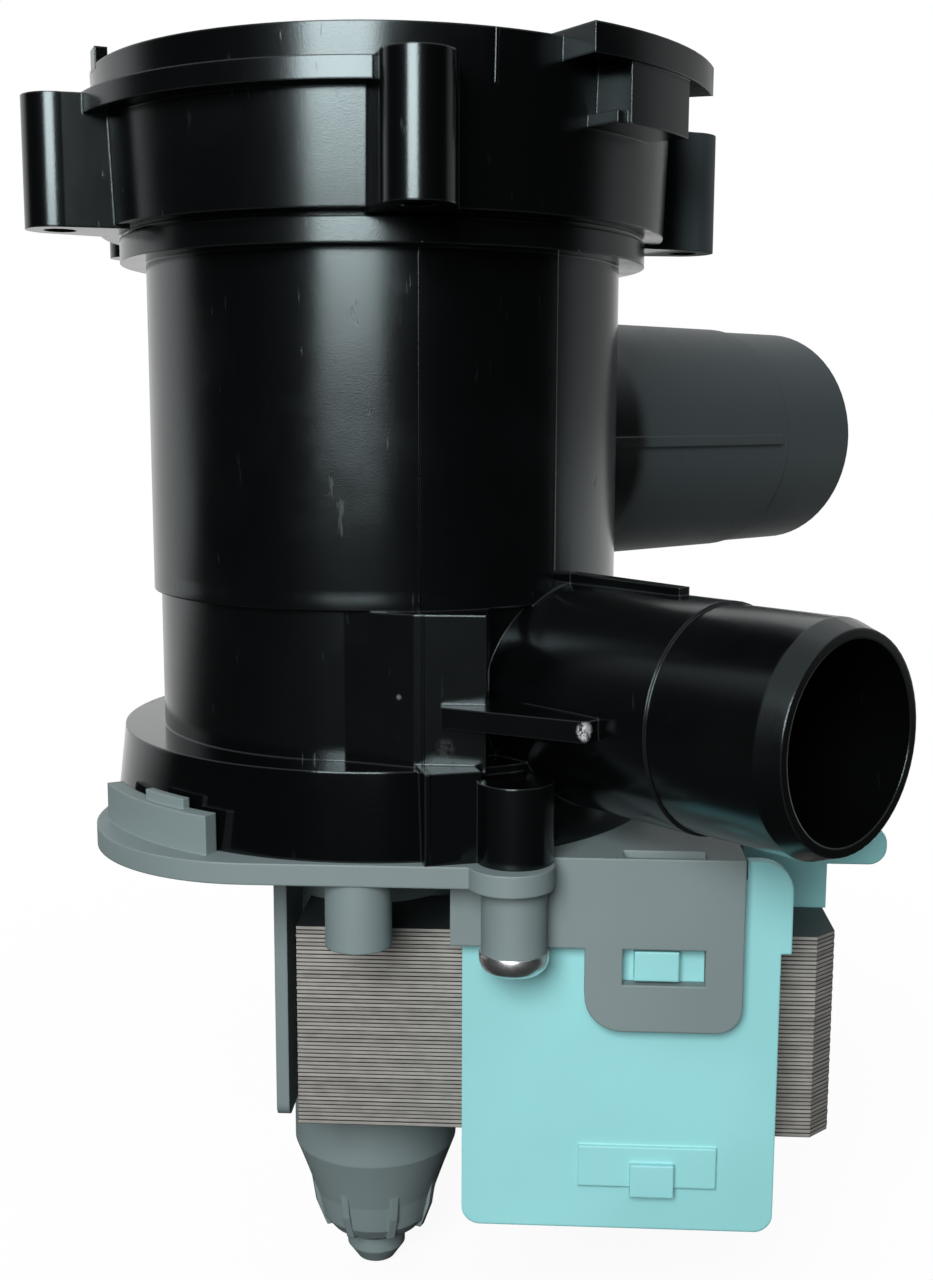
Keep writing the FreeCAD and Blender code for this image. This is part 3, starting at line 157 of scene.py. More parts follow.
# %% A finish under construction
class Look(Graph):
    """A material with its Principled shader; sizes in its methods are in millimetres."""

    def __init__(self, name):
        self.material = bpy.data.materials.new(name)
        self.material.use_nodes = True
        super().__init__(self.material.node_tree, "Object")
        self.shader = self.tree.nodes["Principled BSDF"]

    def set(self, **values):
        for key, value in values.items():
            self.feed(self.shader.inputs[key.replace("_", " ")], value)
        return self

    def current(self, name):
        """What feeds an input of the shader so far."""
        return Value(self, self.shader.inputs[name].links[0].from_socket)

    def noise(self, scale, detail=3.0, roughness=0.5, stretch=None):
        """Cloudy noise; scale is in lumps per metre."""
        place = self.place
        if stretch:
            place = self.node("ShaderNodeMapping", {}, {"Vector": self.place, "Scale": stretch})
        return self.node("ShaderNodeTexNoise", {"noise_dimensions": "3D"}, {
            "Vector": place, "Scale": scale, "Detail": detail, "Roughness": roughness}, "Fac")

    def mix(self, factor, first, second):
        """Two colours mixed; each is a value or a plain colour."""
        return self.node("ShaderNodeMix", {"data_type": "RGBA"}, {
            0: factor, 6: first, 7: second}, 2)

    def rise(self, low, high):
        """Goes from 0 to 1 between two heights above the joint."""
        return self.between(self.axis("Z"), level_at(low), level_at(high))

    def inside(self, radius, soft):
        """1 within radius of the barrel's axis, falling to 0 over soft."""
        x, y = self.axis("X"), self.axis("Y")
        return self.between(x * x + y * y, ((radius + soft) * MM) ** 2, (radius * MM) ** 2)

    def near(self, place, radius, soft):
        """1 within radius of a place, falling to 0 over soft."""
        away = self.node("ShaderNodeVectorMath", {"operation": "DISTANCE"}, {
            0: self.place, 1: place}, "Value")
        return self.between(away, (radius + soft) * MM, radius * MM)

    def soft_edges(self, radius):
        """The normal with every sharp edge rounded off."""
        return self.node("ShaderNodeBevel", {"samples": 6}, {"Radius": radius * MM})

    def edge(self, radius):
        """1 on edges, 0 on open faces."""
        true = self.node("ShaderNodeNewGeometry", {}, {}, "Normal")
        same = self.node("ShaderNodeVectorMath", {"operation": "DOT_PRODUCT"}, {
            0: self.soft_edges(radius), 1: true}, "Value")
        return self.between(same, 0.995, 0.85)

    def relief(self, height, depth, rounding=0.0):
        """A bump from a height, over edges that are rounded by so much."""
        values = {"Height": height, "Distance": depth * MM, "Strength": 1.0}
        if rounding:
            values["Normal"] = self.soft_edges(rounding)
        return self.set(Normal=self.node("ShaderNodeBump", {}, values))


print("Look can:", [name for name, thing in vars(Look).items() if callable(thing)])

# %% [markdown]
# ## Black moulded plastic
# The housing is filled polypropylene from a polished mould: nearly black, with a soft, slightly
# cool sheen. Handling leaves it with dull patches, faint smears and short scratches, which show
# only where light grazes it, so they go into the roughness and a very low bump and hardly into the
# colour. The foot of the housing is hidden in the machine and keeps its polish.

# %% Housing black
FOOT_TOP, FIRST_HANDLED = 10.0, 18.0
SKIN_DEPTH, SKIN_ROUNDING = 0.018, 0.32
COOL_SHEEN = (0.80, 0.97, 1.0, 1)
WORN_EDGE = (0.050, 0.054, 0.058, 1)


def black_plastic(name, base=0.0011, gloss=0.16):
    look = Look(name)
    clouds = look.noise(38, 4, 0.55)
    smear = look.noise(150, 5, 0.7, (1, 1, 0.28))
    grain = look.noise(5200, 2, 0.5)
    scratch = look.noise(900, 3, 0.6, (1, 0.09, 0.16))
    mark = look.between(scratch, 0.66, 0.74)
    dusty = look.between(clouds, 0.48, 0.72) * look.rise(FOOT_TOP, FIRST_HANDLED)
    clean = (base, base * 1.08, base * 1.2, 1)
    dust = (base * 2.4, base * 2.6, base * 2.8, 1)
    tone = look.mix(dusty * 0.35, clean, dust)
    tone = look.mix(look.edge(0.35) * 0.22 + mark * 0.04, tone, WORN_EDGE)
    rough = gloss + 0.10 * dusty + 0.07 * smear + 0.12 * mark
    look.set(Base_Color=tone, Roughness=rough, IOR=1.52, Specular_Tint=COOL_SHEEN)
    look.height = grain * 0.35 + smear * 0.5 - mark * 0.5
    return look


housing_look = black_plastic("housing_black")
print("housing finish has", len(housing_look.tree.nodes), "nodes")

# %% [markdown]
# The mould opens to the front and to the back, so a fine seam runs down the barrel where its halves
# meet. A second one stands beside the outlet, where a slide was drawn out, and a short one crosses
# the collar's rim.

# %% Seams of the mould
def seam(look, degrees, low, high, half_width):
    """1 on a thin upright line at an angle on the barrel, between two heights."""
    turn = math.radians(degrees)
    x, y = look.axis("X"), look.axis("Y")
    aside = x * math.sin(turn) - y * math.cos(turn)
    outward = x * math.cos(turn) + y * math.sin(turn)
    wide, narrow = (half_width * MM * 1.6) ** 2, (half_width * MM * 0.5) ** 2
    line = look.between(aside * aside, wide, narrow)
    span = look.rise(low - 0.3, low) * look.rise(high + 0.3, high)
    return line * span * (outward > 0.02)


front_seam = seam(housing_look, -76.6, 0.2, 68.0, 0.11)
side_seam = seam(housing_look, -42.5, 30.0, 68.0, 0.16)
rim_seam = seam(housing_look, -64.5, 84.5, 89.9, 0.16)
print("with seams:", len(housing_look.tree.nodes), "nodes")

# %% [markdown]
# The spigots come off cores in slides of their own. The rear one has an eroded, matt skin, and its
# colour is painted slate instead of black, a painted sheen for the soft light on it. The ring at
# the foot comes from a highly polished insert. Where the barrel steps down to the foot, its edge
# flares out by a tenth of a millimetre, and this lip catches the light as a short bright band.

# %% Matt rear spigot, polished ring and lip
MATT_FROM, MATT_TO = 30.0 * MM, 33.5 * MM
SLATE = (0.030, 0.040, 0.043, 1)
LIP_TOP, LIP_FULL, LIP_END = 30.2, 28.1, 27.6

across = (housing_look.axis("X") + housing_look.axis("Y")) * math.sqrt(0.5)
matt_skin_and_painted_sheen = housing_look.between(across, MATT_FROM, MATT_TO)
polished = housing_look.rise(FOOT_TOP + 0.5, FOOT_TOP) * housing_look.inside(36.0, 1.5)
lip = housing_look.rise(LIP_TOP, LIP_FULL) * housing_look.rise(LIP_END, LIP_END + 0.3)
lip = lip * housing_look.inside(30.2, 0.4)
# Painted sheen: the matt spigot's colour is lifted from black to slate for the soft light on it;
# its added roughness is the real matt skin.
housing_look.set(
    Base_Color=housing_look.mix(matt_skin_and_painted_sheen * 0.95, housing_look.current("Base Color"), SLATE),
    Roughness=housing_look.current("Roughness") + matt_skin_and_painted_sheen * 0.30 - polished * 0.09)
lines = front_seam * 4.0 + side_seam * 5.0 + rim_seam * 5.0 + lip * 5.5
housing_look.relief(housing_look.height + lines, SKIN_DEPTH, SKIN_ROUNDING)
print("with skins and lip:", len(housing_look.tree.nodes), "nodes")

# %% [markdown]
# The gusset under the outlet was scraped when it was pulled from its box: its outer corner shows
# white, stressed plastic, and there are two short bright nicks and a faint rub on the bulge. These
# are painted by their place on the housing.

# %% Scuffs on the housing
STRESSED = (0.55, 0.56, 0.57, 1)
SCUFFS = {
    "gusset corner": (spot(25.6, -39.9, 16.4), 0.62, 0.80),
    "upper nick": (spot(4.6, -31.4, 18.2), 0.32, 0.36),
    "lower nick": (spot(4.2, -31.3, 17.2), 0.25, 0.32),
    "rub": (spot(10.0, -31.8, 12.6), 0.7, 0.03)}

for place, radius, strength in SCUFFS.values():
    ragged = housing_look.between(housing_look.noise(1500, 4, 0.75), 0.42, 0.56)
    patch = housing_look.near(place, radius, radius) * ragged
    tone = housing_look.mix(patch * strength, housing_look.current("Base Color"), STRESSED)
    housing_look.set(Base_Color=tone)
print("scuffs:", list(SCUFFS))

# %% [markdown]
# ## Grey and turquoise mouldings
# Both are matt, from eroded moulds with a fine even grain. Their edges are painted paler, a painted
# highlight where light would catch them, and their colour drifts slightly where the melt fronts
# met.

# %% Flange grey, cover turquoise and the pale inner mouldings
def matt_plastic(name, colour, rough=0.52, rounding=0.3):
    look = Look(name)
    drift = look.noise(30, 3, 0.5)
    speckle = look.noise(2600, 2, 0.6)
    grain = look.noise(6500, 2, 0.5)
    dark = tuple(c * 0.90 for c in colour) + (1,)
    pale = tuple(min(1.0, c * 1.10 + 0.01) for c in colour) + (1,)
    tone = look.mix(look.between(drift, 0.35, 0.68), dark, tuple(colour) + (1,))
    tone = look.mix(look.between(speckle, 0.60, 0.75) * 0.10, tone, dark)
    # Painted highlight: the edges are made paler in the colour itself.
    tone = look.mix(look.edge(0.3) * 0.55, tone, pale)
    look.set(Base_Color=tone, Roughness=rough + 0.10 * drift, IOR=1.5)
    return look.relief(grain * 0.6 + speckle * 0.5, 0.012, rounding)


flange_look = matt_plastic("flange_grey", (0.150, 0.194, 0.198))
cover_look = matt_plastic("cover_turquoise", (0.240, 0.545, 0.560), rough=0.42, rounding=0.35)
bobbin_look = matt_plastic("bobbin_natural", (0.62, 0.60, 0.52))
acetal_look = matt_plastic("acetal_white", (0.74, 0.74, 0.70), rough=0.35)
cage_look = black_plastic("filter_black", 0.004, 0.33)
cage_look.relief(cage_look.height, SKIN_DEPTH, SKIN_ROUNDING)
matt_looks = (flange_look, cover_look, bobbin_look, acetal_look)
print("mouldings:", [look.material.name for look in matt_looks])

# %% [markdown]
# ## Stacked steel sheets
# The core is stamped from half-millimetre electrical steel. From the side each sheet is a bright,
# torn edge with its own tone, and the joint below it is dark with varnish. The pitch is measured,
# so the pattern is worked out from the height alone and falls on the sheets that a later step
# stacks up. Faces that look up or down are given a plain dark tone.

# %% Lamination steel
PITCH = 0.514 * MM
CORE_TOP = level_at(-12.4)
DARK_STEEL, BRIGHT_STEEL = (0.27, 0.262, 0.245, 1), (0.47, 0.458, 0.425, 1)
DARK_JOINT = (0.030, 0.028, 0.026, 1)
FLAT_TONE_DARKER, FLAT_TONE_DARK = (0.012, 0.018, 0.020, 1), (0.030, 0.040, 0.042, 1)


def sheet_steel():
    look = Look("lamination_steel")
    depth = (CORE_TOP - look.axis("Z")) / PITCH
    number = look.node("ShaderNodeMath", {"operation": "FLOOR"}, {0: depth})
    inside = depth - number
    own = look.node("ShaderNodeTexWhiteNoise", {"noise_dimensions": "1D"}, {"W": number}, "Value")
    torn = look.noise(1400, 3, 0.7, (1, 1, 0.3))
    steel = look.between(inside, 0.90, 0.72) * look.between(inside, 0.0, 0.10)
    streak = look.between(look.noise(420, 2, 0.5, (1, 1, 2.2)), 0.30, 0.70)
    bare = look.mix(own * 0.55 + streak * 0.3, DARK_STEEL, BRIGHT_STEEL)
    tone = look.mix(steel, DARK_JOINT, bare)
    normal = look.node("ShaderNodeNewGeometry", {}, {}, "Normal")
    lift = look.node("ShaderNodeSeparateXYZ", {}, {"Vector": normal}, "Z")
    flat = look.between(lift * lift, 0.5, 0.8)
    # Faces that look up or down get a plain dark tone in place of the sheets' pattern.
    tone = look.mix(flat, tone, look.mix(look.noise(60), FLAT_TONE_DARKER, FLAT_TONE_DARK))
    look.set(Base_Color=tone, Metallic=0.55 * steel * (1 - flat), Roughness=0.42 + 0.20 * torn)
    return look.relief(steel * 1.0 + torn * 0.3, 0.06)


core_look = sheet_steel()
print("sheets every", round(PITCH / MM, 3), "mm")

# %% [markdown]
# ## Wire, rubber and ferrite
# Small parts still need their own finish: enamelled wire changes its tone from strand to strand,
# rubber is dull with bloom, and the magnet's ferrite is ground round its outside.

# %% Finishes of wire, rubber and magnet
def wire_copper():
    look = Look("winding_copper")
    lay = look.noise(220, 3, 0.6)
    strand = look.noise(900, 2, 0.5, (1, 0.2, 0.2))
    fresh = look.between(strand + 0.5 * lay, 0.5, 1.0)
    tone = look.mix(fresh, (0.30, 0.095, 0.034, 1), (0.62, 0.24, 0.09, 1))
    look.set(Base_Color=tone, Metallic=0.75, Roughness=0.30 + 0.15 * lay)
    return look.relief(lay, 0.04)


def rubber():
    look = Look("nitrile_rubber")
    bloom = look.noise(260, 4, 0.6)
    dull = look.between(bloom, 0.45, 0.75)
    tone = look.mix(dull, (0.012, 0.012, 0.012, 1), (0.045, 0.045, 0.044, 1))
    look.set(Base_Color=tone, Roughness=0.72 + 0.12 * bloom)
    return look.relief(look.noise(4200, 2, 0.5), 0.02, 0.15)


def ferrite():
    look = Look("ferrite")
    grind = look.noise(700, 3, 0.6, (1, 1, 9))
    tone = look.mix(grind, (0.018, 0.018, 0.020, 1), (0.070, 0.070, 0.075, 1))
    look.set(Base_Color=tone, Metallic=0.3, Roughness=0.40 + 0.2 * grind)
    return look.relief(grind, 0.02, 0.2)


copper_look, rubber_look, ferrite_look = wire_copper(), rubber(), ferrite()
print("small finishes:", [look.material.name for look in (copper_look, rubber_look, ferrite_look)])

# %% [markdown]
# ## Bright metal
# The screws are zinc-plated, the shaft is ground along its length, the terminals are tinned brass,
# and the bearings are carbon, which is hardly a metal to look at. They differ in colour, in
# roughness and in the direction of their fine lines.

# %% Finishes of screw, shaft, terminal and bearing
def metal(name, colour, rough, brushed=None):
    look = Look(name)
    line = look.noise(1600, 3, 0.6, brushed)
    cloud = look.noise(300, 3, 0.5)
    dull = tuple(c * 0.72 for c in colour) + (1,)
    tone = look.mix(look.between(cloud, 0.35, 0.7) * 0.5, tuple(colour) + (1,), dull)
    look.set(Base_Color=tone, Metallic=1.0, Roughness=rough + 0.14 * line)
    return look.relief(line * 0.5 + cloud * 0.2, 0.015, 0.12)


zinc_look = metal("zinc_screw", (0.80, 0.81, 0.82), 0.24)
shaft_look = metal("ground_shaft", (0.62, 0.62, 0.63), 0.16, (1, 1, 0.1))
tin_look = metal("tinned_brass", (0.72, 0.69, 0.60), 0.24, (0.1, 1, 1))
carbon_look = metal("carbon_bush", (0.035, 0.035, 0.036), 0.45).set(Metallic=0.2)
metals = (zinc_look, shaft_look, tin_look, carbon_look)
print("metals:", [look.material.name for look in metals])

# %% [markdown]
# ## Which piece has which finish
# Every solid gets its finish here, also those that a finer piece replaces further on, so that no
# bare solid is left if a later step is taken out.

# %% All solids dressed
finish = {
    housing_look: ("pump_housing",),
    flange_look: ("motor_flange",),
    cover_look: ("coil_cover", "terminal_shroud"),
    core_look: ("stator_core",),
    bobbin_look: ("bobbin_front", "bobbin_rear"),
    copper_look: ("winding_front", "winding_rear"),
    rubber_look: ("housing_gasket", "rear_bearing_mount", "front_bearing_mount",
                  "bearing_cover_seal", "shaft_seal", "filter_seal"),
    zinc_look: ("housing_screws",),
    shaft_look: ("rotor_shaft",),
    tin_look: ("terminal_line", "terminal_neutral"),
    carbon_look: ("rear_bearing", "front_bearing", "thrust_washer"),
    ferrite_look: ("rotor_magnet",),
    acetal_look: ("rotor_hub", "bearing_cover", "clutch_driver", "impeller", "impeller_cap"),
    cage_look: ("filter_cap", "filter_cage")}


def dress(piece, look):
    piece.data.materials.clear()
    piece.data.materials.append(look.material)


for look, names in finish.items():
    for name in names:
        dress(node[name], look)
print("dressed", sum(len(names) for names in finish.values()), "of", len(node), "nodes")

# %% [markdown]
# ## Helpers for modelled pieces
# Blender's operators act on all that is selected, so the piece in hand is selected alone first. A
# copied piece gets a mesh of its own, and what is joined ends as one piece at the origin.

# %% Selecting, copying, joining and cutting
def alone(piece):
    """Selects just this piece and makes it the active one."""
    bpy.ops.object.select_all(action="DESELECT")
    piece.select_set(True)
    bpy.context.view_layer.objects.active = piece


def twin(source, name):
    """A copy with a mesh of its own."""
    piece = source.copy()
    piece.data = source.data.copy()
    piece.name = piece.data.name = name
    bpy.context.scene.collection.objects.link(piece)
    return piece


def settled(name):
    """Names the piece in hand and moves its place into its mesh."""
    piece = bpy.context.object
    piece.name = piece.data.name = name
    bpy.ops.object.transform_apply(location=True, rotation=True, scale=True)
    return piece


def joined(parts, name):
    alone(parts[0])
    for part in parts:
        part.select_set(True)
    bpy.ops.object.join()
    return settled(name)


def copied_node(name, new_name):
    """A copy of a solid from CAD, with its loose corners merged."""
    piece = twin(node[name], new_name)
    alone(piece)
    bpy.ops.object.mode_set(mode="EDIT")
    bpy.ops.mesh.select_all(action="SELECT")
    bpy.ops.mesh.remove_doubles(threshold=0.000002)
    bpy.ops.mesh.normals_make_consistent(inside=False)
    bpy.ops.object.mode_set(mode="OBJECT")
    return piece


def cut(piece, tool):
    """Takes the tool's form out of the piece and deletes the tool."""
    alone(piece)
    change = piece.modifiers.new("cut", "BOOLEAN")
    change.operation, change.solver, change.object = "DIFFERENCE", "EXACT", tool
    bpy.ops.object.modifier_apply(modifier=change.name)
    alone(tool)
    bpy.ops.object.delete()


def reach(name):
    """The lowest and highest corner of a solid's box, and its centre."""
    low, high = (Vector(corner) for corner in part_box(name))
    return low, high, (low + high) / 2


print("selected after loading:", len(bpy.context.selected_objects), "solids")

# %% [markdown]
# ## Sheets of the core
# The solid core is one block. The real one is fifty stamped sheets, pressed and riveted into a
# stack, and each lies a few hundredths of a millimetre off its neighbour. The block is sliced once
# to get the outline of one sheet, and that sheet is copied down the stack, which gives real edges
# to catch the light.

# %% Fifty sheets from one slice
SHEETS, SHEET_THICKNESS, SHEET_SHIFT = 50, 0.46 * MM, 0.03 * MM

top_sheet = copied_node("stator_core", "lamination_sheets")
bpy.ops.object.mode_set(mode="EDIT")
bpy.ops.mesh.select_all(action="SELECT")
bpy.ops.mesh.bisect(plane_co=(0, 0, CORE_TOP - SHEET_THICKNESS), plane_no=(0, 0, 1),
                    use_fill=True, clear_inner=True)
bpy.ops.object.mode_set(mode="OBJECT")
stack = [top_sheet]
for number in range(1, SHEETS):
    sheet = twin(top_sheet, "sheet_%02d" % number)
    sheet.location = (SHEET_SHIFT * math.sin(number * 2.4),
                      SHEET_SHIFT * math.sin(number * 5.1 + 1), -number * PITCH)
    stack.append(sheet)
sheets = joined(stack, "lamination_sheets")
dress(sheets, core_look)
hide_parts("stator_core")
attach(sheets, "pump_body")
print("sheets:", SHEETS, "faces:", len(sheets.data.polygons))

# %% [markdown]
# ## Screws
# A thread-forming screw for plastic: a low dome with a broad rim that presses on the boss, and a
# coarse thread that cuts its own way into the housing. It is drawn up ring by ring from the flat
# top of its dome. The thread is a row of rings that are wide and narrow in turn: at this size that
# reads as a thread, and it is hidden in the boss.

# %% A turned screw
HEAD = [(1.6, 0.0), (2.5, 0.10), (3.2, 0.38), (3.7, 0.85), (3.95, 1.45), (4.0, 1.9), (4.0, 2.45),
        (3.9, 2.7), (1.5, 2.7)]
THREAD = [(1.5 if ring % 2 else 1.15, 3.2 + 0.45 * ring) for ring in range(31)]
TIP = [(0.7, 17.2)]


def rings(name, steps, sides=48):
    """A turned form: each step is (radius, height) in millimetres, extruded from the last."""
    bpy.ops.object.select_all(action="DESELECT")
    radius, height = steps[0]
    bpy.ops.mesh.primitive_circle_add(vertices=sides, radius=radius * MM, fill_type="NGON",
                                      location=(0, 0, height * MM))
    piece = settled(name)
    bpy.ops.object.mode_set(mode="EDIT")
    bpy.ops.mesh.select_all(action="SELECT")
    for (old, low), (new, high) in zip(steps, steps[1:]):
        bpy.ops.mesh.extrude_region_move(
            TRANSFORM_OT_translate={"value": (0, 0, (high - low) * MM)})
        bpy.ops.transform.resize(value=(new / old, new / old, 1), center_override=(0, 0, 0))
    bpy.ops.mesh.select_all(action="SELECT")
    bpy.ops.mesh.normals_make_consistent(inside=False)
    bpy.ops.object.mode_set(mode="OBJECT")
    return piece


first_screw = rings("screw", HEAD + THREAD + TIP)
print("turned screw:", len(first_screw.data.polygons), "faces")

# %% [markdown]
# The driver's cross recess is cut with two crossed blocks. Then the screw is copied, one is placed
# in front and one behind, and both become one piece, as they are one node in the CAD.

# %% The cross recess and the second screw
SCREW_X, SCREW_Y, SCREW_TOP = 18, 33.7, -12.9
RECESS_LENGTH, RECESS_WIDTH, RECESS_DEPTH = 4.2 * MM, 0.85 * MM, 2.4 * MM
RECESS_BEVEL = 0.17 * MM


def recess_arm(turn):
    """A block with bevelled edges, one arm of the recess, turned about the screw's axis."""
    bpy.ops.object.select_all(action="DESELECT")
    bpy.ops.mesh.primitive_cube_add(size=1, location=(0, 0, 0),
                                    scale=(RECESS_LENGTH, RECESS_WIDTH, RECESS_DEPTH))
    arm = settled("recess_arm")
    bpy.ops.object.mode_set(mode="EDIT")
    bpy.ops.mesh.select_all(action="SELECT")
    bpy.ops.transform.rotate(value=turn, orient_axis="Z", center_override=(0, 0, 0))
    bpy.ops.mesh.bevel(offset=RECESS_BEVEL, segments=1)
    bpy.ops.object.mode_set(mode="OBJECT")
    return arm


for arm in [recess_arm(turn) for turn in (0.0, math.pi / 2)]:
    cut(first_screw, arm)
alone(first_screw)
bpy.ops.object.shade_smooth_by_angle(angle=math.radians(32))
second_screw = twin(first_screw, "screw_rear")
first_screw.location = spot(SCREW_X, -SCREW_Y, SCREW_TOP)
second_screw.location = spot(SCREW_X, SCREW_Y, SCREW_TOP)
screws = joined([first_screw, second_screw], "pan_head_screws")
dress(screws, zinc_look)
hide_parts("housing_screws")
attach(screws, "pump_body")
print("screws:", len(screws.data.polygons), "faces")

# %% [markdown]
# ## Tab terminals
# The two tabs are stamped from 0.8 mm brass: the tip is coined to a wedge so that a receptacle
# finds it, and a small hole catches the receptacle's dimple.

# %% Tabs with a coined tip and a hole
TIP_LENGTH, TIP_TAPER = 1.2 * MM, (0.76, 0.42, 1)
HOLE_RADIUS, HOLE_DOWN, HOLE_DRILL = 0.85 * MM, 3.6 * MM, 4 * MM


def tab(name, body):
    """A push-on tab that stands in the box of the solid it replaces."""
    low, high, centre = reach(name)
    bpy.ops.object.select_all(action="DESELECT")
    bpy.ops.mesh.primitive_cube_add(size=1, location=centre, scale=high - low)
    piece = settled(name + "_tab")
    bpy.ops.object.mode_set(mode="EDIT")
    bpy.ops.mesh.select_mode(type="FACE")
    bpy.ops.mesh.select_all(action="SELECT")
    bpy.ops.mesh.bisect(plane_co=(0, 0, high.z - TIP_LENGTH), plane_no=(0, 0, 1))
    bpy.ops.mesh.select_all(action="DESELECT")
    bpy.ops.object.mode_set(mode="OBJECT")
    for face in piece.data.polygons:
        face.select = face.center.z > high.z - 0.01 * MM
    bpy.ops.object.mode_set(mode="EDIT")
    bpy.ops.transform.resize(value=TIP_TAPER, center_override=tuple(centre))
    bpy.ops.mesh.select_all(action="SELECT")
    bpy.ops.mesh.normals_make_consistent(inside=False)
    bpy.ops.object.mode_set(mode="OBJECT")
    bpy.ops.object.select_all(action="DESELECT")
    bpy.ops.mesh.primitive_cylinder_add(vertices=28, radius=HOLE_RADIUS, depth=HOLE_DRILL,
                                        rotation=(math.pi / 2, 0, 0),
                                        location=(centre.x, centre.y, high.z - HOLE_DOWN))
    cut(piece, bpy.context.object)
    dress(piece, tin_look)
    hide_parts(name)
    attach(piece, body)
    return piece


tabs = [tab(name, "pump_body") for name in ("terminal_line", "terminal_neutral")]
print("tabs:", [len(piece.data.polygons) for piece in tabs], "faces")

# %% [markdown]
# ## Round seals
# The real seals are rings of round section, moulded in two halves, so a fine flash line runs round
# their outside. The solids are square in section, because each only fills its groove. The ring is
# as thick as the solid is tall and reaches as far out.

# %% Seals of round section
FLASH_SHARE, FLASH_PINCH = 0.12, 0.998


def round_seal(name, body):
    """A ring in the box of the solid it replaces, with the mould's flash line round it."""
    low, high, centre = reach(name)
    outer, thick = (high.x - low.x) / 2, (high.z - low.z) / 2
    bpy.ops.object.select_all(action="DESELECT")
    bpy.ops.mesh.primitive_torus_add(location=centre, major_radius=outer - thick,
                                     minor_radius=thick, major_segments=128, minor_segments=20)
    piece = settled(name + "_ring")
    bpy.ops.object.mode_set(mode="EDIT")
    bpy.ops.mesh.select_mode(type="FACE")
    bpy.ops.object.mode_set(mode="OBJECT")
    for face in piece.data.polygons:
        aside = Vector((face.center.x - centre.x, face.center.y - centre.y))
        face.select = aside.length > outer - FLASH_SHARE * thick
    bpy.ops.object.mode_set(mode="EDIT")
    bpy.ops.mesh.inset(thickness=FLASH_SHARE * thick, use_even_offset=True)
    bpy.ops.transform.resize(value=(FLASH_PINCH, FLASH_PINCH, 1), center_override=tuple(centre))
    bpy.ops.object.mode_set(mode="OBJECT")
    bpy.ops.object.shade_smooth_by_angle(angle=math.radians(40))
    dress(piece, rubber_look)
    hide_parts(name)
    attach(piece, body)
    return piece


seals = [round_seal(name, body) for name, body in (
    ("filter_seal", "filter_carrier"), ("housing_gasket", "pump_body"),
    ("bearing_cover_seal", "pump_body"))]
print("seals:", [len(piece.data.polygons) for piece in seals], "faces")

# %% [markdown]
# ## Windings with their turns
# Each winding is a solid ring round one leg of the core. The outer layer of wire is cut into it:
# planes half a wire apart slice the ring across the leg, and every second slice is drawn in towards
# the leg, so that ridges and valleys run round it as wire does. They show through the gap above the
# terminals.

# %% Ridges of wire round each leg
WIRE_TURNS, VALLEY = 60, (1, 0.985, 0.99)


def wound(name, body):
    low, high, centre = reach(name)
    step = (high.x - low.x) / (2 * WIRE_TURNS)
    piece = copied_node(name, name + "_turns")
    bpy.ops.object.mode_set(mode="EDIT")
    for slice_number in range(1, 2 * WIRE_TURNS):
        bpy.ops.mesh.select_all(action="SELECT")
        bpy.ops.mesh.bisect(plane_co=(low.x + slice_number * step, 0, 0), plane_no=(1, 0, 0))
    bpy.ops.mesh.select_mode(type="VERT")
    bpy.ops.mesh.select_all(action="DESELECT")
    bpy.ops.object.mode_set(mode="OBJECT")
    for vertex in piece.data.vertices:
        vertex.select = round((vertex.co.x - low.x) / step) % 2 == 0
    bpy.ops.object.mode_set(mode="EDIT")
    bpy.ops.transform.resize(value=VALLEY, center_override=tuple(centre))
    bpy.ops.object.mode_set(mode="OBJECT")
    dress(piece, copper_look)
    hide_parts(name)
    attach(piece, body)
    return piece


coils = [wound(name, "pump_body") for name in ("winding_front", "winding_rear")]
print("coils:", [len(piece.data.polygons) for piece in coils], "faces")

# %% [markdown]
# ## Camera
# The photograph's own view was worked out from the pump's rings and edges: about 203 mm from the
# barrel, a little to the right of straight in front, tilted down 8.6 degrees. A short distance
# gives the strong perspective that makes the collar loom over the motor.

# %% The photograph's camera
FOCAL_PIXELS, FRAME_HEIGHT, SENSOR = 1543.0, 1280, 36.0
EYE_DISTANCE, EYE_HEIGHT = 202.7, 50.57
side, pitch, roll = math.radians(6.08), math.radians(8.57), math.radians(0.2)
heading = side - math.radians(3.02)

eye = spot(EYE_DISTANCE * math.sin(side), -EYE_DISTANCE * math.cos(side), EYE_HEIGHT)
ahead = Vector((-math.sin(heading) * math.cos(pitch), math.cos(heading) * math.cos(pitch),
                -math.sin(pitch)))
right = Vector((math.cos(heading), math.sin(heading), 0))
up = right.cross(ahead)
right, up = (math.cos(roll) * right + math.sin(roll) * up,
             -math.sin(roll) * right + math.cos(roll) * up)
camera = bpy.data.objects.new("camera", bpy.data.cameras.new("camera"))
bpy.context.scene.collection.objects.link(camera)
bpy.context.scene.camera = camera
camera.data.sensor_width = SENSOR
camera.data.lens = SENSOR * FOCAL_PIXELS / FRAME_HEIGHT
camera.data.clip_start, camera.data.clip_end = 0.01, 20.0
turned = Matrix((right, up, -ahead)).transposed().to_4x4()
camera.matrix_world = Matrix.Translation(eye) @ turned
print("lens", round(camera.data.lens, 2), "mm, eye at", [round(v, 3) for v in eye])

# %% [markdown]
# ## Lamps
# A black barrel is a curved mirror: what shows on it is the shape of the lamps. One large soft box
# at the left front, a little above the collar, draws the broad soft streak down the barrel and
# lights the matt grey and turquoise faces. A weak, low one under it lets the streak fade out
# towards the foot.

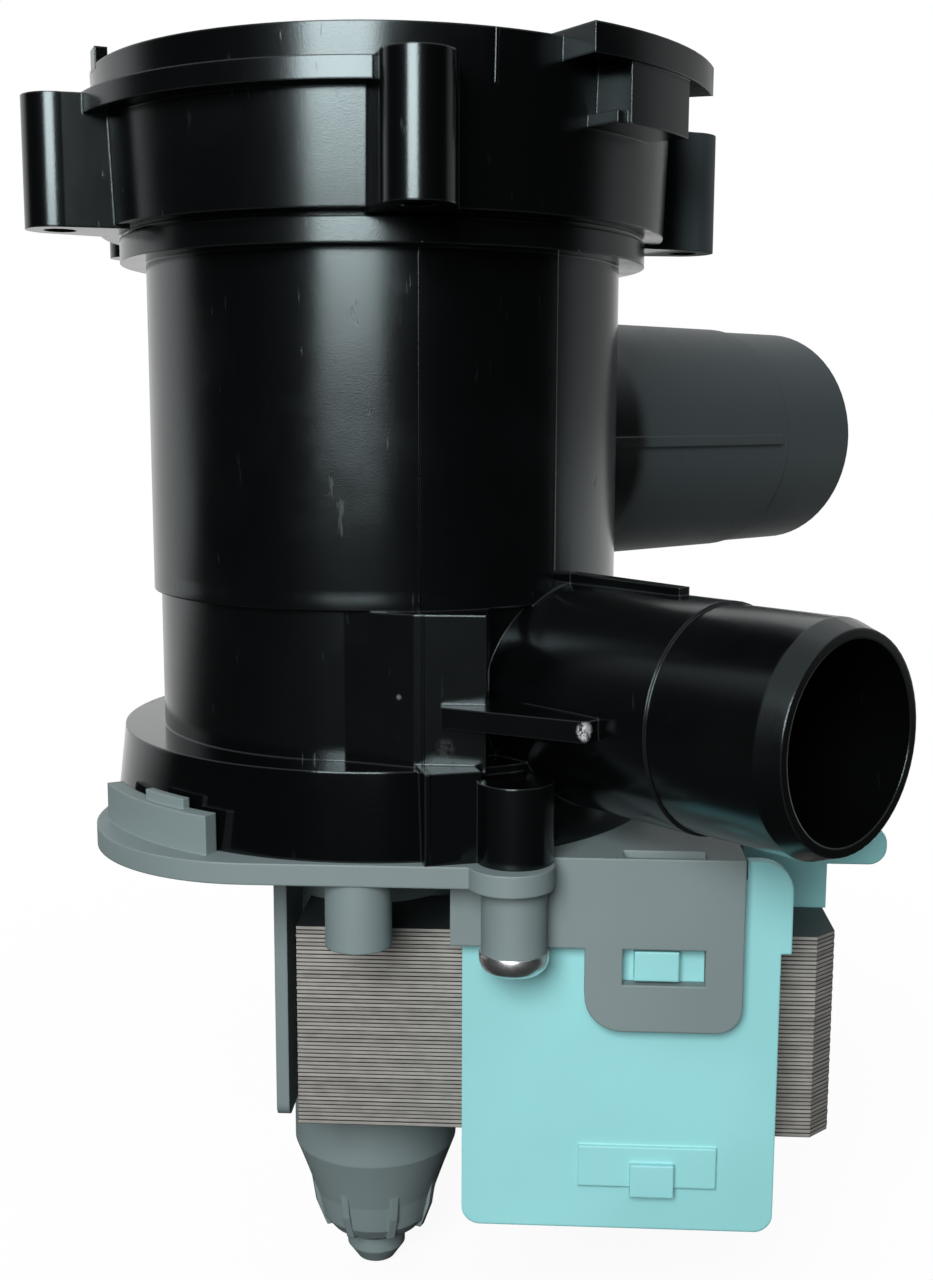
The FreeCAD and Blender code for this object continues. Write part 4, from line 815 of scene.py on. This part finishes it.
# %% Two soft boxes
def soft_box(name, place, target, wide, high, watts):
    lamp = bpy.data.lights.new(name, "AREA")
    lamp.shape, lamp.size, lamp.size_y, lamp.energy = "RECTANGLE", wide, high, watts
    box = bpy.data.objects.new(name, lamp)
    bpy.context.scene.collection.objects.link(box)
    box.location = place
    box.rotation_mode = "QUATERNION"
    box.rotation_quaternion = (Vector(target) - Vector(place)).to_track_quat("-Z", "Y")
    return box


middle = spot(8, 0, 20)
boxes = [soft_box("key_box", (-0.10, -0.62, 0.220), middle, 0.32, 0.36, 6.7),
         soft_box("low_box", (-0.10, -0.62, 0.005), middle, 0.32, 0.07, 0.22)]
print("lamps:", {box.name: round(box.data.energy, 2) for box in boxes})

# %% [markdown]
# ## Room
# Behind the pump the room is white, which gives the black plastic pale rims where it turns away. In
# front it is nearly dark, so that the middle stays black. The right wall is dimmer than the left
# one, light fades below the pump, and a soft ceiling lights the top faces, as the photograph's
# reflections show. The camera, and rays through clear things, see plain white.

# %% A room that is white behind the pump
world = bpy.data.worlds.new("white_room")
bpy.context.scene.world = world
world.use_nodes = True
room = Graph(world.node_tree, "Generated")
background = room.tree.nodes["Background"]

rear_wall = room.between(room.axis("Y"), 0.0, 0.35, 0.02, 0.95)
right_wall = room.between(room.axis("X"), 0.10, 0.60, 1.0, 0.42)
below = room.between(room.axis("Z"), -0.45, -0.05, 0.15, 1.0)
ceiling = room.between(room.axis("Z"), 0.40, 0.80, 0.0, 0.65)
lit = (rear_wall * right_wall * below).combine("MAXIMUM", ceiling)
seen = room.light_path("Is Camera Ray").combine("MAXIMUM", room.light_path("Is Transmission Ray"))
room.feed(background.inputs["Strength"], lit.combine("MAXIMUM", seen))
background.inputs["Color"].default_value = (1, 1, 1, 1)
print("room:", len(room.tree.nodes), "nodes")

# %% [markdown]
# ## Floor
# The camera sees white paper with a faint shadow near the pump. Everything else sees a dull floor
# that turns bright only behind the pump, because white paper all round it would light the black
# plastic from below and turn it grey.

# %% Paper under the pump
PAPER_DARK, PAPER_PALE = (0.80, 0.80, 0.80, 1), (0.86, 0.86, 0.86, 1)
DULL_FLOOR = (0.03, 0.03, 0.03, 1)
FLOOR_SIZE, FLOOR_GAP = 6.0, 0.0005


def floor_look():
    look = Look("white_floor")
    look.set(Base_Color=look.mix(look.noise(90, 3, 0.5), PAPER_DARK, PAPER_PALE), Roughness=0.8)
    paper = Value(look, look.shader.outputs[0])
    glow = look.node("ShaderNodeEmission", {}, {"Strength": 1.0})
    dull = look.node("ShaderNodeBsdfDiffuse", {}, {"Color": DULL_FLOOR})
    away = look.node("ShaderNodeVectorMath", {"operation": "LENGTH"}, {0: look.place}, "Value")
    whiter = look.between(away, 0.10, 0.30, 0.90, 1.0)
    behind = look.between(look.axis("Y"), 0.03, 0.35, 0.0, 0.90)
    pale = look.node("ShaderNodeMixShader", {}, {0: whiter, 1: paper, 2: glow})
    mirrored = look.node("ShaderNodeMixShader", {}, {0: behind, 1: dull, 2: glow})
    blend = look.node("ShaderNodeMixShader", {}, {
        0: look.light_path("Is Camera Ray"), 1: mirrored, 2: pale})
    look.feed(look.tree.nodes["Material Output"].inputs["Surface"], blend)
    return look


bpy.ops.object.select_all(action="DESELECT")
bpy.ops.mesh.primitive_plane_add(size=FLOOR_SIZE, location=(0, 0, cad_box[0][2] - FLOOR_GAP))
bpy.ops.object.mode_set(mode="EDIT")
bpy.ops.mesh.subdivide(number_cuts=3)
bpy.ops.object.mode_set(mode="OBJECT")
floor = settled("floor")
dress(floor, floor_look())
bpy.context.scene.view_settings.view_transform = "Standard"
print("floor at", round(cad_box[0][2] - FLOOR_GAP, 4), "m")

# %% [markdown]
